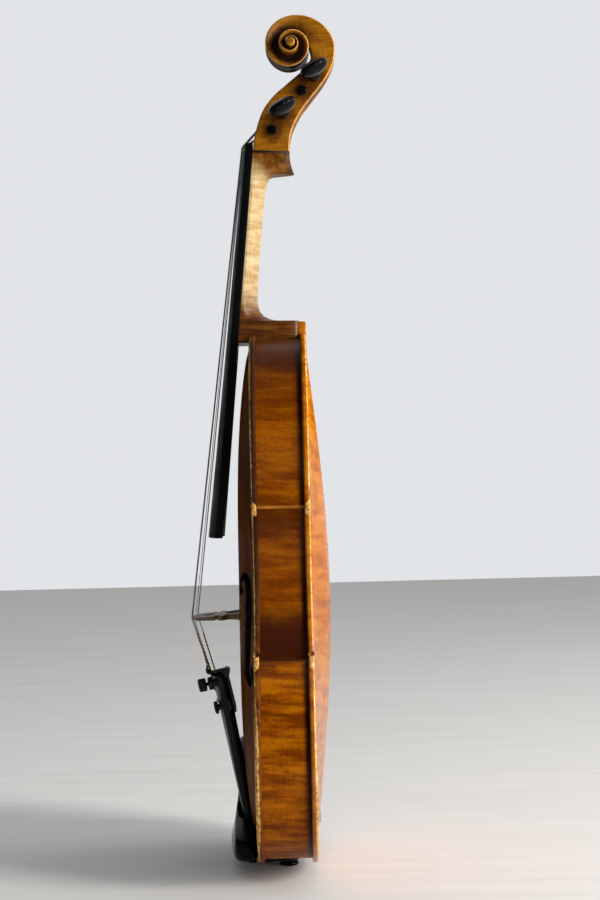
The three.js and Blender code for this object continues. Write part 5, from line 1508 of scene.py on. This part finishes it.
EDGE_X = plane - EDGE
BASE_X = BACK_PLANE + EDGE
along_edge(19, 57, 0.4, 7, CHIN_UNDER - 1.5, EDGE_X - 1.9, "chin_rest_foot", EBONY, "ebony")
along_edge(0.05, 3.2, 0.4, 7, CHIN_UNDER - 2, EDGE_X - 1.6, "chin_rest_treble_foot", EBONY, "ebony",
           side=-1, reach=16)
along_edge(0.05, 3.2, 0.4, 7, EDGE_X - 1.6, EDGE_X - 0.1, "chin_rest_treble_cork", CORK, "cork", side=-1,
           reach=16)
along_edge(19, 57, 0.4, 7, EDGE_X - 1.6, EDGE_X - 0.1, "chin_rest_cork", CORK, "cork", ("chin_rest_cork",))
along_edge(19, 57, 0.4, 7, BASE_X + 0.1, BASE_X + 1.6, "clamp_cork", CORK, "cork", ("clamp_cork",),
           "clamp_foot")


def bar(profile, y, z):
    rings = [[(x, y + r * math.cos(t), z + r * math.sin(t))
              for t in np.linspace(0, 2 * np.pi, 24, endpoint=False)]
             for r, x in profile]
    return loft(rings)


BARRELS = [((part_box(f"clamp_barrel_{k}")[0][1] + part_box(f"clamp_barrel_{k}")[1][1]) / 2 / MM,
            (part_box(f"clamp_barrel_{k}")[0][2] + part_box(f"clamp_barrel_{k}")[1][2]) / 2 / MM - LIFT)
           for k in (1, 2)]
for k, (y, z) in enumerate(BARRELS, 1):
    profile = [(1.5, -13), (2.4, -13), (2.8, -12.5), (2.9, -12), (2.9, -7), (2.6, -6.6), (2.6, -6.2),
               (2.9, -5.8), (2.9, 7.8), (2.6, 8.2), (2.6, 8.6), (2.9, 9), (2.9, 14), (2.8, 14.5), (2.4, 15),
               (1.5, 15)]
    obj = make(f"clamp_barrel_{k}", *bar(profile, y, z), NICKEL, "steel", (f"clamp_barrel_{k}",),
               body=f"clamp_barrel_{k}", angle=30)
    turns = np.linspace(0, 2 * np.pi, 20, endpoint=False)
    for x in (-2.5, 4.5):
        hole = [(x + 0.9 * math.cos(t), z + 0.9 * math.sin(t)) for t in turns]
        boolean(obj, cutter([hole], y - 6, y + 6, "xz"), angle=30)
for name, ends, body in (("clamp_lower_studs", (4.2, BASE_X + 2.6), "clamp_foot"),
                         ("clamp_upper_studs", (CHIN_UNDER + 1, -0.2), ROOT)):
    threads = [(0, ends[0])] + [(1.4 - 0.2 * (k % 2), x) for k, x in
                                enumerate(np.arange(ends[0], ends[1], 0.35))] + [(0, ends[1])]
    make(name, *merged([bar(threads, y, z) for y, z in BARRELS]), NICKEL, "steel", body=body, angle=30)
along_edge(13, 57, -5.8, 6.4, BASE_X + 1.7, BASE_X + 3.3, "clamp_lower_plate", NICKEL, "steel",
           ("clamp_lower_plate",), "clamp_foot")
along_edge(13, 57, -5.8, -0.9, CHIN_UNDER + 0.3, CHIN_UNDER + 2, "clamp_upper_plate", NICKEL, "steel",
           ("clamp_upper_plate",))


# ------------------------------------------------------------------ the CAD nodes that stay
for name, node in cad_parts.items():
    if name.startswith(("lining_", "corner_block", "upper_block", "lower_block", "bass_bar", "sound_post")):
        node.data.materials.clear()
        node.data.materials.append(CORNER_LOOK if name.startswith("corner_block") else BARE)


# ------------------------------------------------------------------ floor, light and camera
def floor_look():
    look = Look("floor")
    grain = look.noise(look.place((0.004, 0.05, 0.05)), 4, 0.6)
    colour = look.ramp(grain, [(0.3, (0.80, 0.78, 0.75)), (0.7, (0.86, 0.84, 0.81))])
    return look.finish(Base_Color=colour, Roughness=0.9, Specular_IOR_Level=0.0)


mesh = bpy.data.meshes.new("floor")
mesh.from_pydata([(-3, -3, 0), (3, -3, 0), (3, 3, 0), (-3, 3, 0)], [], [(0, 1, 2, 3)])
floor = bpy.data.objects.new("floor", mesh)
mesh.materials.append(floor_look())
bpy.context.scene.collection.objects.link(floor)

def studio_world():
    """An even bright backdrop behind and to the right, falling to a dim room in front and to the left."""
    world = bpy.data.worlds.new("studio")
    bpy.context.scene.world = world
    world.use_nodes = True
    tree = world.node_tree
    place = tree.nodes.new("ShaderNodeTexCoord")
    aim = tree.nodes.new("ShaderNodeVectorMath")
    aim.operation = "DOT_PRODUCT"
    aim.inputs[1].default_value = (0.42, 0.72, 0.45)
    span = tree.nodes.new("ShaderNodeMapRange")
    span.interpolation_type = "SMOOTHSTEP"
    for key, value in enumerate((0.05, 0.64, 0.05, 0.80), 1):
        span.inputs[key].default_value = value
    background = tree.nodes["Background"]
    background.inputs[0].default_value = (0.95, 0.97, 1.0, 1)
    tree.links.new(place.outputs["Generated"], aim.inputs[0])
    tree.links.new(aim.outputs["Value"], span.inputs[0])
    tree.links.new(span.outputs[0], background.inputs[1])


studio_world()
bpy.context.scene.view_settings.view_transform = "Standard"


def area_light(name, place, aim, size, power, colour=(1, 1, 1)):
    data = bpy.data.lights.new(name, "AREA")
    data.shape = "RECTANGLE"
    data.size, data.size_y = size
    data.energy = power
    data.color = colour
    obj = bpy.data.objects.new(name, data)
    obj.location = place
    obj.rotation_euler = (Vector(aim) - Vector(place)).to_track_quat("-Z", "Y").to_euler()
    bpy.context.scene.collection.objects.link(obj)


area_light("key", (1.75, -1.0, 0.7), (0, 0, 0.28), (0.6, 1.3), 60, (1.0, 0.99, 0.975))
area_light("fill", (-1.5, -1.3, 0.8), (0, 0, 0.3), (1.2, 1.2), 2.0, (0.93, 0.96, 1.0))
area_light("rim", (1.6, 0.5, 0.9), (0, 0, 0.3), (0.8, 1.2), 6, (0.97, 0.98, 1.0))

camera = bpy.data.cameras.new("camera")
camera.sensor_fit = "VERTICAL"
camera.sensor_height = 36
camera.lens = 36 * 1770 / 900
camera.clip_start = 0.05
eye = bpy.data.objects.new("camera", camera)
bpy.context.scene.collection.objects.link(eye)
eye.location = (0.0077, -1.2115, 0.2689)
pitch, roll, yaw = (math.radians(a) for a in (0.65, 1.40, -0.29))
eye.matrix_world = (Matrix.Translation(eye.location) @ Matrix.Rotation(yaw, 4, "Z")
                    @ Matrix.Rotation(roll, 4, "Y")
                    @ Matrix.Rotation(pitch, 4, "X") @ Matrix.Rotation(math.radians(90), 4, "X"))
bpy.context.scene.camera = eye
